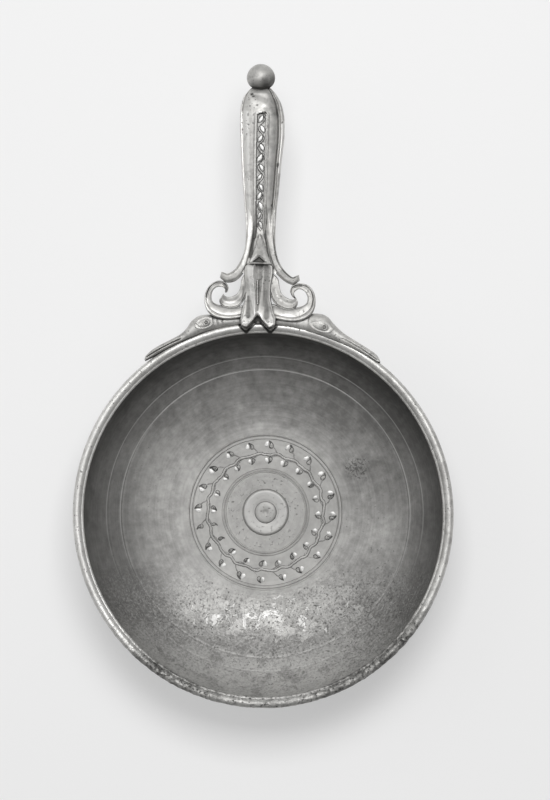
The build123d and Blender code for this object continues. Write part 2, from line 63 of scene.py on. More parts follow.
class Tree:
    def __init__(self, nodes, links):
        self.nodes = nodes
        self.links = links

    def node(self, kind, settings=None, sockets=None, out=0):
        made = self.nodes.new(kind)
        for key, setting in (settings or {}).items():
            if key == "stops":
                ramp = made.color_ramp
                while len(ramp.elements) > 1:
                    ramp.elements.remove(ramp.elements[-1])
                for place, (position, shade) in enumerate(setting):
                    stop = ramp.elements[0] if place == 0 else ramp.elements.new(position)
                    stop.position = position
                    stop.color = shade if len(shade) == 4 else (*shade, 1)
            else:
                setattr(made, key, setting)
        for key, given in (sockets or {}).items():
            target = made.inputs[key]
            if isinstance(given, Value):
                self.links.new(given.socket, target)
            else:
                target.default_value = given
        return Value(self, made.outputs[out]) if out is not None else made

    def number(self, amount):
        return self.node("ShaderNodeMath", {"operation": "ADD"}, {0: amount, 1: 0.0})

    def out(self, given, name):
        return Value(self, given.socket.node.outputs[name])

    def ramp(self, factor, *stops, mode="LINEAR"):
        made = self.node("ShaderNodeValToRGB", {"stops": stops}, {"Fac": factor})
        made.socket.node.color_ramp.interpolation = mode
        return made

    def band(self, factor, low, high):
        return self.node("ShaderNodeMapRange", {"interpolation_type": "SMOOTHSTEP"}, {"Value": factor, "From Min": low, "From Max": high})

    def mix(self, factor, first, second, blend="MIX"):
        settings = {"data_type": "RGBA", "blend_type": blend}
        return self.node("ShaderNodeMix", settings, {0: factor, 6: first, 7: second}, out=2)

    def noise(self, place, scale, detail=4.0, rough=0.55, distortion=0.0):
        sockets = {"Vector": place, "Scale": scale, "Detail": detail, "Roughness": rough, "Distortion": distortion}
        return self.node("ShaderNodeTexNoise", {}, sockets)

    def bump(self, height, distance, strength=1.0, normal=None):
        sockets = {"Height": height, "Distance": distance, "Strength": strength}
        if normal:
            sockets["Normal"] = normal
        return self.node("ShaderNodeBump", {}, sockets)


def newMaterial(name, settings):
    material = bpy.data.materials.new(name)
    material.use_nodes = True
    material.node_tree.nodes.clear()
    tree = Tree(material.node_tree.nodes, material.node_tree.links)
    shader = tree.node("ShaderNodeBsdfPrincipled", {}, settings, out=None)
    output = tree.node("ShaderNodeOutputMaterial", {}, {}, out=None)
    tree.links.new(shader.outputs[0], output.inputs[0])
    place = tree.node("ShaderNodeTexCoord", {}, {}, out=3)

    def feed(name, given):
        tree.links.new(given.socket, shader.inputs[name])

    return material, tree, place, feed


def bronzeMaterial(name, look):
    # cast bronze: cloudy patina, painted shade in the hollows, wear on the ridges partly painted as highlight, small
    # pits
    material, tree, place, feed = newMaterial(name, {"Metallic": look["metal"], "Specular IOR Level": 0.4})
    shadeAndMarks = tree.node("ShaderNodeAttribute", {"attribute_name": "shadeAndMarks"}, {}, out=2)
    crown = tree.node("ShaderNodeAttribute", {"attribute_name": "crown"}, {}, out=2)
    clouds = tree.noise(place, 34.0, 6.0, 0.62, 0.6)
    fine = tree.noise(place, 330.0, 5.0, 0.6)
    specks = tree.noise(place, 900.0, 2.0, 0.5)
    tone = clouds * 0.6 + fine * 0.4
    colour = tree.ramp(tone, (0.34, look["low"]), (0.5, look["middle"]), (0.66, look["high"]))
    pit = tree.band(specks, 0.6, 0.7) * tree.band(clouds, 0.46, 0.6)
    # painted shade: the baked shade attribute, broken up by noise, darkens the colour in hollows and between parts
    paintedShade = tree.band(shadeAndMarks + (fine - 0.5) * 0.38 + (clouds - 0.5) * 0.25, 0.12, 0.6)
    # ridges lighter in colour: partly real wear, partly painted highlight from the ridge attribute and the highlight
    # strokes
    worn = tree.band(crown + (fine - 0.5) * 0.3, 0.12, 0.6)
    colour = tree.mix(worn * 0.7, colour, (*look["worn"], 1))
    stain = tree.band(tree.noise(place, 120.0, 7.0, 0.72, 0.4), 0.53, 0.64)
    colour = tree.mix(stain * 0.28, colour, (*look["dirtAndShade"], 1))
    colour = tree.mix(paintedShade * look["paintedShade"], colour, (*look["dirtAndShade"], 1))
    colour = tree.mix(pit * 0.7, colour, (*look["dirtAndShade"], 1))
    feed("Base Color", colour)
    feed("Roughness", paintedShade * 0.2 + look["rough"] - worn * 0.08 - tree.band(tone, 0.3, 0.7) * 0.08)
    feed("Normal", tree.bump(fine * 0.6 - pit * 0.8, 0.0003, 0.45))
    return material


# the pale worn colour also paints highlights; the dark colour serves both for dirt and for painted shade, whose
# strength is the next key
castLook = {
    "low": (0.32, 0.316, 0.305), "middle": (0.5, 0.494, 0.477), "high": (0.64, 0.634, 0.614), "worn": (0.84, 0.834, 0.812),
    "dirtAndShade": (0.045, 0.044, 0.041), "paintedShade": 0.9, "rough": 0.6, "metal": 0.6,
}


def bowlMaterial():
    # turned inside with fine rings, mottled and pitted lower down, brighter where it is worn in the middle
    material, tree, place, feed = newMaterial("bowlBronze", {"Specular IOR Level": 0.4})
    axes = tree.node("ShaderNodeSeparateXYZ", {}, {0: place})
    x, y, z = (tree.out(axes, letter) for letter in "XYZ")
    radius = (x * x + y * y) ** 0.5
    facing = tree.node("ShaderNodeSeparateXYZ", {}, {0: tree.node("ShaderNodeNewGeometry", out=1)}, out=2)
    inside = tree.band(facing, -0.05, 0.05)
    clouds = tree.noise(place, 22.0, 6.0, 0.6, 0.8)
    fine = tree.noise(place, 240.0, 6.0, 0.62)
    grit = tree.noise(place, 820.0, 4.0, 0.66)
    ringPlace = tree.node("ShaderNodeCombineXYZ", {}, {"X": radius, "Y": 0.0, "Z": z * 0.2})
    turning = tree.noise(ringPlace, 900.0, 3.0, 0.7)
    ragged = tree.noise(place, 85.0, 7.0, 0.68, 0.35)
    # the corroded zone lies below the scroll, the polished patches in its upper part; the patches' lighter colour is
    # partly painted highlight
    lower = tree.band(y * -1.0, 0.018, 0.05) * tree.band(radius, 0.041, 0.05)
    patchAway = ((x + 0.003) * (x + 0.003) * 0.2 + (y + 0.0565) * (y + 0.0565) * 3.2) ** 0.5
    patch = tree.band(ragged - patchAway * 7.0, 0.4, 0.47) * tree.band(radius, 0.041, 0.045)
    # painted light: the colour grows lighter towards the lower left and darker towards the upper right
    tone = clouds * 0.5 + fine * 0.32 + turning * 0.18 - x * 0.45 - y * 0.85
    colour = tree.ramp(tone, (0.36, (0.17, 0.168, 0.162)), (0.5, (0.3, 0.296, 0.287)), (0.63, (0.44, 0.435, 0.421)))
    centre = tree.band(radius, 0.05, 0.036)
    colour = tree.mix(centre * 0.45, colour, (0.47, 0.465, 0.45, 1))
    # painted light: the lower wall lighter in colour, where it faces the lamp
    wallLow = tree.band(y * -1.0, 0.05, 0.085) * tree.band(radius, 0.07, 0.082)
    colour = tree.mix(wallLow * 0.5, colour, (0.5, 0.495, 0.48, 1))
    # painted shade: the steep wall darkened, except on the lower wall and less towards the top
    steep = tree.band(radius - x * 0.02 - y.math("MAXIMUM", 0.0) * 0.14, 0.058, 0.088) * (1.0 - wallLow)
    colour = tree.mix(steep * 0.58, colour, (0.05, 0.049, 0.047, 1))
    blotch = tree.band(ragged, 0.5, 0.6) * lower
    colour = tree.mix(blotch * 0.45, colour, (0.13, 0.128, 0.122, 1))
    grain = tree.noise(place, 760.0, 5.0, 0.75)
    colour = tree.mix(tree.band(grain, 0.5, 0.64) * lower * 0.5, colour, (0.1, 0.099, 0.095, 1))
    colour = tree.mix(tree.band(grain, 0.5, 0.38) * lower * 0.3, colour, (0.56, 0.555, 0.54, 1))
    # painted highlight: the polished patches drawn lighter, with a bright ragged core inside them
    colour = tree.mix(patch * 0.45, colour, (0.52, 0.515, 0.5, 1))
    core = tree.band(tree.noise(place, 120.0, 9.0, 0.72, 0.6) - patchAway * 5.5, 0.49, 0.51) * tree.band(radius, 0.043, 0.047) * tree.band(y, -0.069, -0.063) * inside
    colour = tree.mix(core * 0.62, colour, (0.78, 0.775, 0.76, 1))
    # painted highlight: a soft light patch on the lower left of the floor
    pale = tree.band(((x + 0.035) * (x + 0.035) + (y + 0.035) * (y + 0.035)) ** 0.5, 0.03, 0.008)
    colour = tree.mix(pale * 0.14, colour, (0.7, 0.695, 0.68, 1))
    # painted highlight: the two incised wall lines drawn as bright lines, strongest on the upper side
    for ring, wide, strength in ((0.0774, 0.00042, 0.42), (0.0843, 0.00036, 0.3)):
        away = (radius * (1.0 - (x * x - y * y) / (x * x + y * y) * 0.0059) - ring).math("ABSOLUTE")
        colour = tree.mix(tree.band(away, wide, wide * 0.3) * tree.band(y, -0.06, 0.03) * inside * strength, colour, (0.75, 0.745, 0.73, 1))
    # painted light: a lighter band just under the lip on the handle side
    under = tree.band(z, 0.043, 0.0475) * tree.band(y, 0.05, 0.085) * inside
    colour = tree.mix(under * 0.5, colour, (0.5, 0.495, 0.48, 1))
    # painted highlight: a bright line along the fillet at the scroll's outer edge
    border = tree.band((radius - 0.0404).math("ABSOLUTE"), 0.0006, 0.0002) * inside
    colour = tree.mix(border * 0.22, colour, (0.75, 0.745, 0.73, 1))
    # the boss painted lighter than the floor round it, with a painted highlight towards its upper side
    colour = tree.mix(tree.band(radius, 0.0122, 0.0112) * (1.0 - tree.band(radius, 0.0064, 0.0056) * 0.75) * (tree.band(y, -0.012, 0.01) * 0.26 + 0.14), colour, (0.75, 0.745, 0.73, 1))
    # painted shade: thin dark lines beside the turned fillets
    for ring, wide in ((0.0058, 0.0003), (0.0125, 0.0003), (0.0223, 0.00022), (0.0236, 0.00022), (0.0396, 0.00022), (0.0412, 0.00024)):
        away = (radius - ring).math("ABSOLUTE")
        colour = tree.mix(tree.band(away, wide, wide * 0.3) * inside * 0.6, colour, (0.07, 0.069, 0.066, 1))
    clusterX, clusterY = x - 0.049, y - 0.0235
    cluster = tree.band((clusterX * clusterX + clusterY * clusterY) ** 0.5, 0.01, 0.003)
    pitted = lower * 0.085 + cluster * 0.13 + tree.band(x, 0.02, 0.06) * 0.03 + tree.band(radius, 0.024, 0.018) * 0.06
    pit = tree.band(grit + pitted, 0.66, 0.74) * tree.band(clouds + pitted, 0.42, 0.55)
    colour = tree.mix(pit * 0.65, colour, (0.07, 0.069, 0.066, 1))
    feed("Base Color", colour)
    feed("Metallic", patch * 0.12 + 0.4)
    feed("Roughness", 0.62 - patch * 0.07 - tree.band(tone, 0.35, 0.65) * 0.05 + pit * 0.1)
    feed("Normal", tree.bump(turning * 0.22 + fine * 0.4 + patch * 0.4 + core * 0.4 + grain * lower * 0.5 - pit * 0.9 - blotch * 0.3, 0.0004, 0.55))
    return material


def lipMaterial():
    # the rim: bright and smooth above, grey and eaten away along its lower stretch
    material, tree, place, feed = newMaterial("lipBronze", {"Specular IOR Level": 0.4, "Metallic": 0.6})
    axes = tree.node("ShaderNodeSeparateXYZ", {}, {0: place})
    x, y = tree.out(axes, "X"), tree.out(axes, "Y")
    shadeAndMarks = tree.node("ShaderNodeAttribute", {"attribute_name": "shadeAndMarks"}, {}, out=2)
    clouds = tree.noise(place, 40.0, 5.0, 0.6, 0.5)
    fine = tree.noise(place, 300.0, 6.0, 0.66)
    grit = tree.noise(place, 760.0, 3.0, 0.6)
    eaten = tree.band(y * -1.0 + (clouds - 0.5) * 0.03 + x * 0.12, 0.05, 0.075)
    # painted light: the rim's colour lighter towards the left
    tone = clouds * 0.5 + fine * 0.5 - x * 0.5
    colour = tree.ramp(tone, (0.36, (0.42, 0.415, 0.4)), (0.5, (0.62, 0.614, 0.595)), (0.64, (0.74, 0.735, 0.715)))
    dull = tree.ramp(fine, (0.38, (0.045, 0.044, 0.042)), (0.5, (0.18, 0.178, 0.171)), (0.62, (0.38, 0.375, 0.362)))
    # the eaten stretch is dulled less at its middle: a painted highlight
    colour = tree.mix(eaten * (0.92 - tree.band(x.math("ABSOLUTE"), 0.045, 0.01) * 0.5), colour, dull)
    pit = tree.band(grit + eaten * 0.07 + (clouds - 0.5) * 0.2, 0.64, 0.7)
    colour = tree.mix(pit * 0.75, colour, (0.06, 0.059, 0.056, 1))
    # painted shade: near-black where nearby parts close the rim in and under the lobes' painted shadow
    colour = tree.mix(tree.band(shadeAndMarks, 0.1, 0.5) * 0.95, colour, (0.02, 0.02, 0.019, 1))
    feed("Base Color", colour)
    feed("Roughness", eaten * 0.08 + 0.52 + pit * 0.2 - tree.band(tone, 0.35, 0.65) * 0.06)
    feed("Normal", tree.bump(fine * 0.5 - pit * 0.9 + grit * eaten * 0.6, 0.0004, 0.55))
    return material


def silverMaterial():
    material, tree, place, feed = newMaterial("silverInlay", {"Metallic": 0.6, "Specular IOR Level": 0.5})
    wear = tree.noise(place, 900.0, 4.0, 0.6)
    patch = tree.noise(place, 160.0, 3.0, 0.5)
    tone = wear * 0.5 + patch * 0.5
    feed("Base Color", tree.ramp(tone, (0.38, (0.4, 0.398, 0.388)), (0.52, (0.62, 0.617, 0.605)), (0.66, (0.76, 0.757, 0.742))))
    feed("Roughness", tree.band(tone, 0.3, 0.7) * 0.15 + 0.42)
    feed("Normal", tree.bump(wear, 0.0001, 0.6))
    return material


def darkMaterial(name, low, high, metal):
    # dull inlay, crumbled a little
    material, tree, place, feed = newMaterial(name, {"Metallic": metal, "Specular IOR Level": 0.35})
    crumbs = tree.noise(place, 1100.0, 4.0, 0.65)
    patch = tree.noise(place, 120.0, 3.0, 0.5)
    feed("Base Color", tree.ramp(crumbs * 0.6 + patch * 0.4, (0.4, low), (0.6, high)))
    feed("Roughness", crumbs * 0.3 + 0.45)
    feed("Normal", tree.bump(crumbs, 0.00012, 0.7))
    return material


def solderMaterial():
    material, tree, place, feed = newMaterial("softSolder", {"Metallic": 0.7, "Specular IOR Level": 0.4})
    lumps = tree.noise(place, 420.0, 4.0, 0.6)
    feed("Base Color", tree.ramp(lumps, (0.35, (0.12, 0.12, 0.115)), (0.65, (0.27, 0.27, 0.26))))
    feed("Roughness", lumps * 0.25 + 0.42)
    feed("Normal", tree.bump(lumps, 0.0002, 0.6))
    return material


bowlBronze = bowlMaterial()
castBronze = bronzeMaterial("castBronze", castLook)
silverInlay = silverMaterial()
lipBronze = lipMaterial()
darkInlay = darkMaterial("darkInlay", (0.025, 0.025, 0.024), (0.13, 0.128, 0.123), 0.25)
greyInlay = darkMaterial("greyInlay", (0.1, 0.099, 0.095), (0.42, 0.415, 0.4), 0.42)
bedInlay = darkMaterial("bedInlay", (0.13, 0.129, 0.125), (0.52, 0.514, 0.5), 0.5)
stemInlay = darkMaterial("stemInlay", (0.31, 0.306, 0.297), (0.5, 0.494, 0.478), 0.45)
softSolder = solderMaterial()
print("materials made")


def smoothLine(points, count):
    # evenly spaced points on a Catmull-Rom line through the given ones
    given = np.array(points, float)
    padded = np.vstack([2 * given[0] - given[1], given, 2 * given[-1] - given[-2]])
    samples = []
    for i in range(1, len(padded) - 2):
        a, b, c, d = padded[i - 1:i + 3]
        for t in np.linspace(0, 1, 24, endpoint=False):
            samples.append(0.5 * (2 * b + (c - a) * t + (2 * a - 5 * b + 4 * c - d) * t * t + (3 * b - a - 3 * c + d) * t**3))
    samples.append(given[-1])
    samples = np.array(samples)
    lengths = np.concatenate([[0], np.cumsum(np.linalg.norm(np.diff(samples, axis=0), axis=1))])
    wanted = np.linspace(0, lengths[-1], count)
    return np.column_stack([np.interp(wanted, lengths, samples[:, k]) for k in range(samples.shape[1])])


def loftRings(rings, closeStart=True, closeEnd=True):
    # closed rings of points, joined by quads and capped at both ends
    count = len(rings[0])
    points = [tuple(p) for ring in rings for p in ring]
    faces = []
    for i in range(len(rings) - 1):
        for j in range(count):
            k = (j + 1) % count
            faces.append((i * count + j, i * count + k, (i + 1) * count + k, (i + 1) * count + j))
    if closeStart:
        faces.append(tuple(range(count))[::-1])
    if closeEnd:
        faces.append(tuple((len(rings) - 1) * count + j for j in range(count)))
    return points, faces


def joined(parts):
    points, faces = [], []
    for p, f in parts:
        start = len(points)
        points += p
        faces += [tuple(start + k for k in face) for face in f]
    return points, faces


def meshPiece(name, shape, material, sharp=38, place=None):
    # a finished piece, points in millimetres
    points, faces = shape
    if place:
        points = [place(*p) for p in points]
    mesh = bpy.data.meshes.new(name)
    mesh.from_pydata([(x * mm, y * mm, z * mm) for x, y, z in points], [], faces)
    piece = bpy.data.objects.new(name, mesh)
    bpy.context.scene.collection.objects.link(piece)
    return finishPiece(piece, material, sharp)


def finishPiece(piece, material, sharp=38):
    work = bmesh.new()
    work.from_mesh(piece.data)
    bmesh.ops.remove_doubles(work, verts=work.verts, dist=1e-6)
    bmesh.ops.dissolve_degenerate(work, edges=work.edges, dist=1e-7)
    bmesh.ops.recalc_face_normals(work, faces=work.faces)
    work.to_mesh(piece.data)
    work.free()
    piece.data.polygons.foreach_set("use_smooth", [True] * len(piece.data.polygons))
    if sharp:
        piece.data.set_sharp_from_angle(angle=radians(sharp))
    piece.data.materials.clear()
    piece.data.materials.append(material)
    return piece


def newGroup(name, inputs):
    group = bpy.data.node_groups.new(name, "GeometryNodeTree")
    face = group.interface
    face.new_socket(name="Geometry", in_out="INPUT", socket_type="NodeSocketGeometry")
    for label, (kind, standard) in inputs.items():
        socket = face.new_socket(name=label, in_out="INPUT", socket_type="NodeSocket" + kind)
        if standard is not None:
            socket.default_value = standard
    face.new_socket(name="Geometry", in_out="OUTPUT", socket_type="NodeSocketGeometry")
    tree = Tree(group.nodes, group.links)
    entry = group.nodes.new("NodeGroupInput")
    given = {socket.name: Value(tree, socket) for socket in entry.outputs if socket.name}
    return group, tree, given


def closeGroup(tree, given, shape):
    # every tree ends in real geometry with its material
    real = tree.node("GeometryNodeRealizeInstances", {}, {0: shape})
    smooth = tree.node("GeometryNodeSetShadeSmooth", {}, {0: real})
    painted = tree.node("GeometryNodeSetMaterial", {}, {"Geometry": smooth, "Material": given["Material"]})
    tree.node("NodeGroupOutput", {}, {0: painted}, out=None)


def grow(name, source, group, values, material, sharp=38):
    # runs a tree on an object and keeps the result as a plain mesh
    modifier = source.modifiers.new(group.name, "NODES")
    modifier.node_group = group
    labels = {item.name: item.identifier for item in group.interface.items_tree if item.in_out == "INPUT"}
    for label, value in {**values, "Material": material}.items():
        modifier[labels[label]] = value
    bpy.context.view_layer.update()
    result = bpy.data.meshes.new_from_object(source.evaluated_get(bpy.context.evaluated_depsgraph_get()))
    source.modifiers.remove(modifier)
    bpy.data.objects.remove(source)
    result.name = name
    piece = bpy.data.objects.new(name, result)
    bpy.context.scene.collection.objects.link(piece)
    return finishPiece(piece, material, sharp)


def pointCloud(points):
    mesh = bpy.data.meshes.new("profile")
    mesh.from_pydata([(x * mm, y * mm, z * mm) for x, y, z in points], [], [])
    holder = bpy.data.objects.new("profile", mesh)
    bpy.context.scene.collection.objects.link(holder)
    return holder


def turnedGroup():
    # turns a profile (X is the radius) about Z, slightly oval, with a worn stretch
    group, tree, given = newGroup("turnedShape", {
        "Segments": ("Int", 480), "Profile Points": ("Int", 10),
        "Oval": ("Float", 0.0), "Oval Turn": ("Float", 0.0),
        "Wear": ("Float", 0.0), "Wear Scale": ("Float", 300.0),
        "Worn From": ("Float", 0.0), "Worn To": ("Float", 0.0), "Worn Share": ("Float", 0.0),
        "Seed": ("Float", 0.0), "Material": ("Material", None),
    })
    segments, count = given["Segments"], given["Profile Points"]
    grid = tree.node("GeometryNodeMeshGrid", {}, {"Size X": 1.0, "Size Y": 1.0, "Vertices X": segments + 1, "Vertices Y": count})
    at = tree.node("GeometryNodeInputPosition")
    split = tree.node("ShaderNodeSeparateXYZ", {}, {0: at})
    angle = (tree.out(split, "X") + 0.5) * (2 * pi)
    row = ((tree.out(split, "Y") + 0.5) * (count - 1)).math("ROUND")
    index = tree.node("FunctionNodeFloatToInt", {}, {0: row})
    there = tree.node("GeometryNodeSampleIndex", {"data_type": "FLOAT_VECTOR", "domain": "POINT"}, {"Geometry": given["Geometry"], "Value": at, "Index": index})
    profile = tree.node("ShaderNodeSeparateXYZ", {}, {0: there})
    oval = ((angle - given["Oval Turn"]) * 2.0).math("COSINE") * given["Oval"] + 1.0
    radius = tree.out(profile, "X") * oval
    spot = tree.node("ShaderNodeCombineXYZ", {}, {"X": radius * angle.math("COSINE"), "Y": radius * angle.math("SINE"), "Z": tree.out(profile, "Z")})
    turned = tree.node("GeometryNodeSetPosition", {}, {"Geometry": grid, "Position": spot})
    merged = tree.node("GeometryNodeMergeByDistance", {}, {"Geometry": turned, "Distance": 1e-6})
    # wear: coarse dents and fine pits along the normal, strongest between two angles
    now = tree.node("GeometryNodeInputPosition")
    axes = tree.node("ShaderNodeSeparateXYZ", {}, {0: now})
    around = tree.out(axes, "Y").math("ARCTAN2", tree.out(axes, "X"))
    around = (around / (2 * pi)).math("FRACT") * 360.0
    start = tree.node("ShaderNodeMapRange", {"interpolation_type": "SMOOTHSTEP"}, {"Value": around, "From Min": given["Worn From"] - 8.0, "From Max": given["Worn From"] + 8.0})
    stop = tree.node("ShaderNodeMapRange", {"interpolation_type": "SMOOTHSTEP"}, {"Value": around, "From Min": given["Worn To"] - 8.0, "From Max": given["Worn To"] + 8.0})
    worn = start * (1.0 - stop) * (1.0 - given["Worn Share"]) + given["Worn Share"]
    dents = tree.node("ShaderNodeTexNoise", {"noise_dimensions": "4D"}, {"Vector": now, "W": given["Seed"], "Scale": given["Wear Scale"], "Detail": 4.0, "Roughness": 0.7})
    clear = tree.node("ShaderNodeMapRange", {"interpolation_type": "SMOOTHSTEP"}, {"Value": tree.out(axes, "Z"), "From Min": 0.001, "From Max": 0.004})
    shift = (dents - 0.5) * worn * given["Wear"] * clear
    normal = tree.node("GeometryNodeInputNormal")
    push = tree.node("ShaderNodeVectorMath", {"operation": "SCALE"}, {0: normal, "Scale": shift})
    shaped = tree.node("GeometryNodeSetPosition", {}, {"Geometry": merged, "Offset": push})
    closeGroup(tree, given, shaped)
    return group


turnedShape = turnedGroup()


bowlLook = {
    "floorRadius": 43.5, "floorHeight": 6.8, "wallLevel": 48.1, "innerWidth": 52.0, "innerDepth": 41.3,
    "wall": 1.6, "underside": 4.4, "lipInner": 95.5, "lines": (77.4, 84.3), "lineWidth": 0.4, "lineDepth": 0.14,
    "oval": 0.006, "ovalTurn": radians(95), "segments": 480,
}


def wallHeight(radius):
    share = min((radius - bowlLook["floorRadius"]) / bowlLook["innerWidth"], 1)
    return bowlLook["wallLevel"] - bowlLook["innerDepth"] * sqrt(max(1 - share * share, 0))


def bowlProfile():
    look = bowlLook
    floor = look["floorHeight"]
    # dimple, button, dished boss with its rounded edge
    points = [(0, 7.45), (0.6, 7.5), (1.1, 7.8), (1.5, 8.05), (2.2, 8.12), (3.6, 8.1), (4.6, 8.04), (5.2, 7.9), (5.55, 7.7), (5.8, 7.4), (6.0, 7.15)]
    points += [(6.3, 7.15), (6.8, 7.42), (7.6, 7.56), (8.8, 7.74), (10.0, 7.92), (10.8, 8.04), (11.4, 8.0), (11.9, 7.75), (12.25, 7.25), (12.45, 6.8), (12.7, floor)]
    points += [(15, floor), (18, floor), (20.5, floor)]
    # double line inside the scroll and the fillets outside it
    for middle, width, high in ((21.7, 0.38, 0.32), (22.95, 0.36, 0.3), (39.7, 0.42, 0.34), (40.9, 0.4, -0.3), (41.8, 0.36, 0.2)):
        points += [(middle - width, floor), (middle - width * 0.45, floor + high), (middle + width * 0.45, floor + high), (middle + width, floor)]
        if middle == 22.95:
            points += [(r, floor) for r in np.linspace(24.5, 37.5, 8)]
    points += [(42.9, floor)]
    for share in np.linspace(0.0, 1.0, 52):
        angle = share * pi / 2
        radius = look["floorRadius"] + look["innerWidth"] * sin(angle)
        if min(abs(radius - line) for line in look["lines"]) > look["lineWidth"] * 1.6:
            points.append((radius, wallHeight(radius)))
    for line in look["lines"]:
        for offset, depth in ((-1.0, 0.0), (-0.4, -0.8), (0.0, -1.0), (0.4, -0.8), (1.0, 0.0)):
            radius = line + offset * look["lineWidth"]
            points.append((radius, wallHeight(radius) + depth * look["lineDepth"]))
    inner = sorted(points, key=lambda p: (round(p[0], 6), p[1]))
    # lip foot, outer wall, foot ring and the turned underside
    outerWidth, outerDepth = look["innerWidth"] + look["wall"], look["wallLevel"] - look["underside"]
    outer = []
    footEdge = acos((48.5 - look["floorRadius"]) / outerWidth)
    for angle in np.linspace(-0.02, -footEdge, 40):
        outer.append((look["floorRadius"] + outerWidth * cos(angle), look["wallLevel"] + outerDepth * sin(angle)))
    foot = [(48.45, 3.6), (48.3, 0.9), (47.75, 0.1), (47.2, 0.0), (45.2, 0.0), (44.6, 0.12), (44.0, 0.9), (43.85, 3.9), (43.4, 4.35)]
    under = [(36, 4.4), (32.2, 4.4)]
    for middle in (31.0, 16.0):
        under += [(middle + 1.0, 4.4), (middle + 0.75, 3.55), (middle + 0.3, 3.4), (middle - 0.3, 3.4), (middle - 0.75, 3.55), (middle - 1.0, 4.4)]
        under += [(middle - 4, 4.4), (middle - 9, 4.4)]
    under += [(2.2, 4.4), (1.0, 4.75), (0, 4.9)]
    return inner + outer + foot + under


profile = bowlProfile()
bowlShell = grow("bowlShell", pointCloud([(r, 0, z) for r, z in profile]), turnedShape, {
    "Segments": bowlLook["segments"], "Profile Points": len(profile), "Oval": bowlLook["oval"], "Oval Turn": bowlLook["ovalTurn"],
    "Wear": 0.00035, "Wear Scale": 90.0, "Worn From": 200.0, "Worn To": 340.0, "Worn Share": 0.35, "Seed": 2.0,
}, bowlBronze)
print("bowl turned", len(bowlShell.data.polygons), "faces")

lipLook = {"segments": 1300, "wear": 0.0017, "wearScale": 330.0, "from": 216.0, "to": 330.0}
lipProfile = [(95.3, 48.3), (95.25, 49.4), (95.55, 50.0), (95.95, 50.25), (96.3, 50.3), (96.75, 50.9), (97.3, 51.45), (98.0, 51.85), (98.8, 52.0)]
lipProfile += [(99.6, 51.85), (100.25, 51.4), (100.7, 50.75), (100.95, 50.0), (101.0, 49.2), (100.9, 48.4), (100.6, 47.75), (100.0, 47.4), (99.0, 47.3), (97.6, 47.35), (96.6, 47.5), (95.3, 48.3)]
lipProfile = [tuple(p) for p in smoothLine(lipProfile, 40)]
bowlLip = grow("bowlLip", pointCloud([(r, 0, z) for r, z in lipProfile]), turnedShape, {
    "Segments": lipLook["segments"], "Profile Points": len(lipProfile), "Oval": bowlLook["oval"], "Oval Turn": bowlLook["ovalTurn"],
    "Wear": lipLook["wear"], "Wear Scale": lipLook["wearScale"], "Worn From": lipLook["from"], "Worn To": lipLook["to"], "Worn Share": 0.05, "Seed": 7.0,
}, lipBronze)
print("lip turned", len(bowlLip.data.polygons), "faces")


lean = radians(1.2)


def onHandle(x, y, z):
    # handle plane to the shared frame: Y runs out along the grip, Z is up from the rim's level
    return (-2.2 + x * cos(lean) + y * sin(lean), 102.7 - x * sin(lean) + y * cos(lean), rimTop + z)


def ease(low, high, at):
    share = min(max((at - low) / (high - low), 0), 1)
    return share * share * (3 - 2 * share)


def straight(table, at):
    return float(np.interp(at, [p for p, _ in table], [v for _, v in table]))


gripLook = {
    "left": [(36, -8.3), (42, -7.6), (47, -7.5), (53, -8.0), (63, -8.9), (73, -9.9), (84, -10.8), (94, -11.4), (103, -11.85), (110, -11.8), (115, -10.9), (118, -9.6), (120.8, -7.4), (122.4, -5.4)],
    "right": [(36, 8.6), (42, 8.0), (50, 8.0), (58, 8.4), (66, 9.2), (74, 9.8), (84, 10.6), (95, 11.6), (103, 11.65), (108, 11.2), (113.5, 9.8), (118.3, 7.1), (121, 4.9), (122.4, 3.4)],
    "channelLeft": [(43, -2.6), (48, -2.1), (52, -2.1), (63, -2.35), (89, -2.75), (110, -2.45)], "channelRight": [(43, 2.6), (48, 1.9), (52, 1.6), (63, 1.65), (89, 1.9), (110, 2.1)],
    "channelStart": 30.0, "channelEnd": 108.1, "channelDepth": 1.3, "frame": 1.35, "frameHigh": 0.4, "start": 43.0,
}
gripCurve = {side: smoothLine(gripLook[side], 400) for side in ("left", "right")}


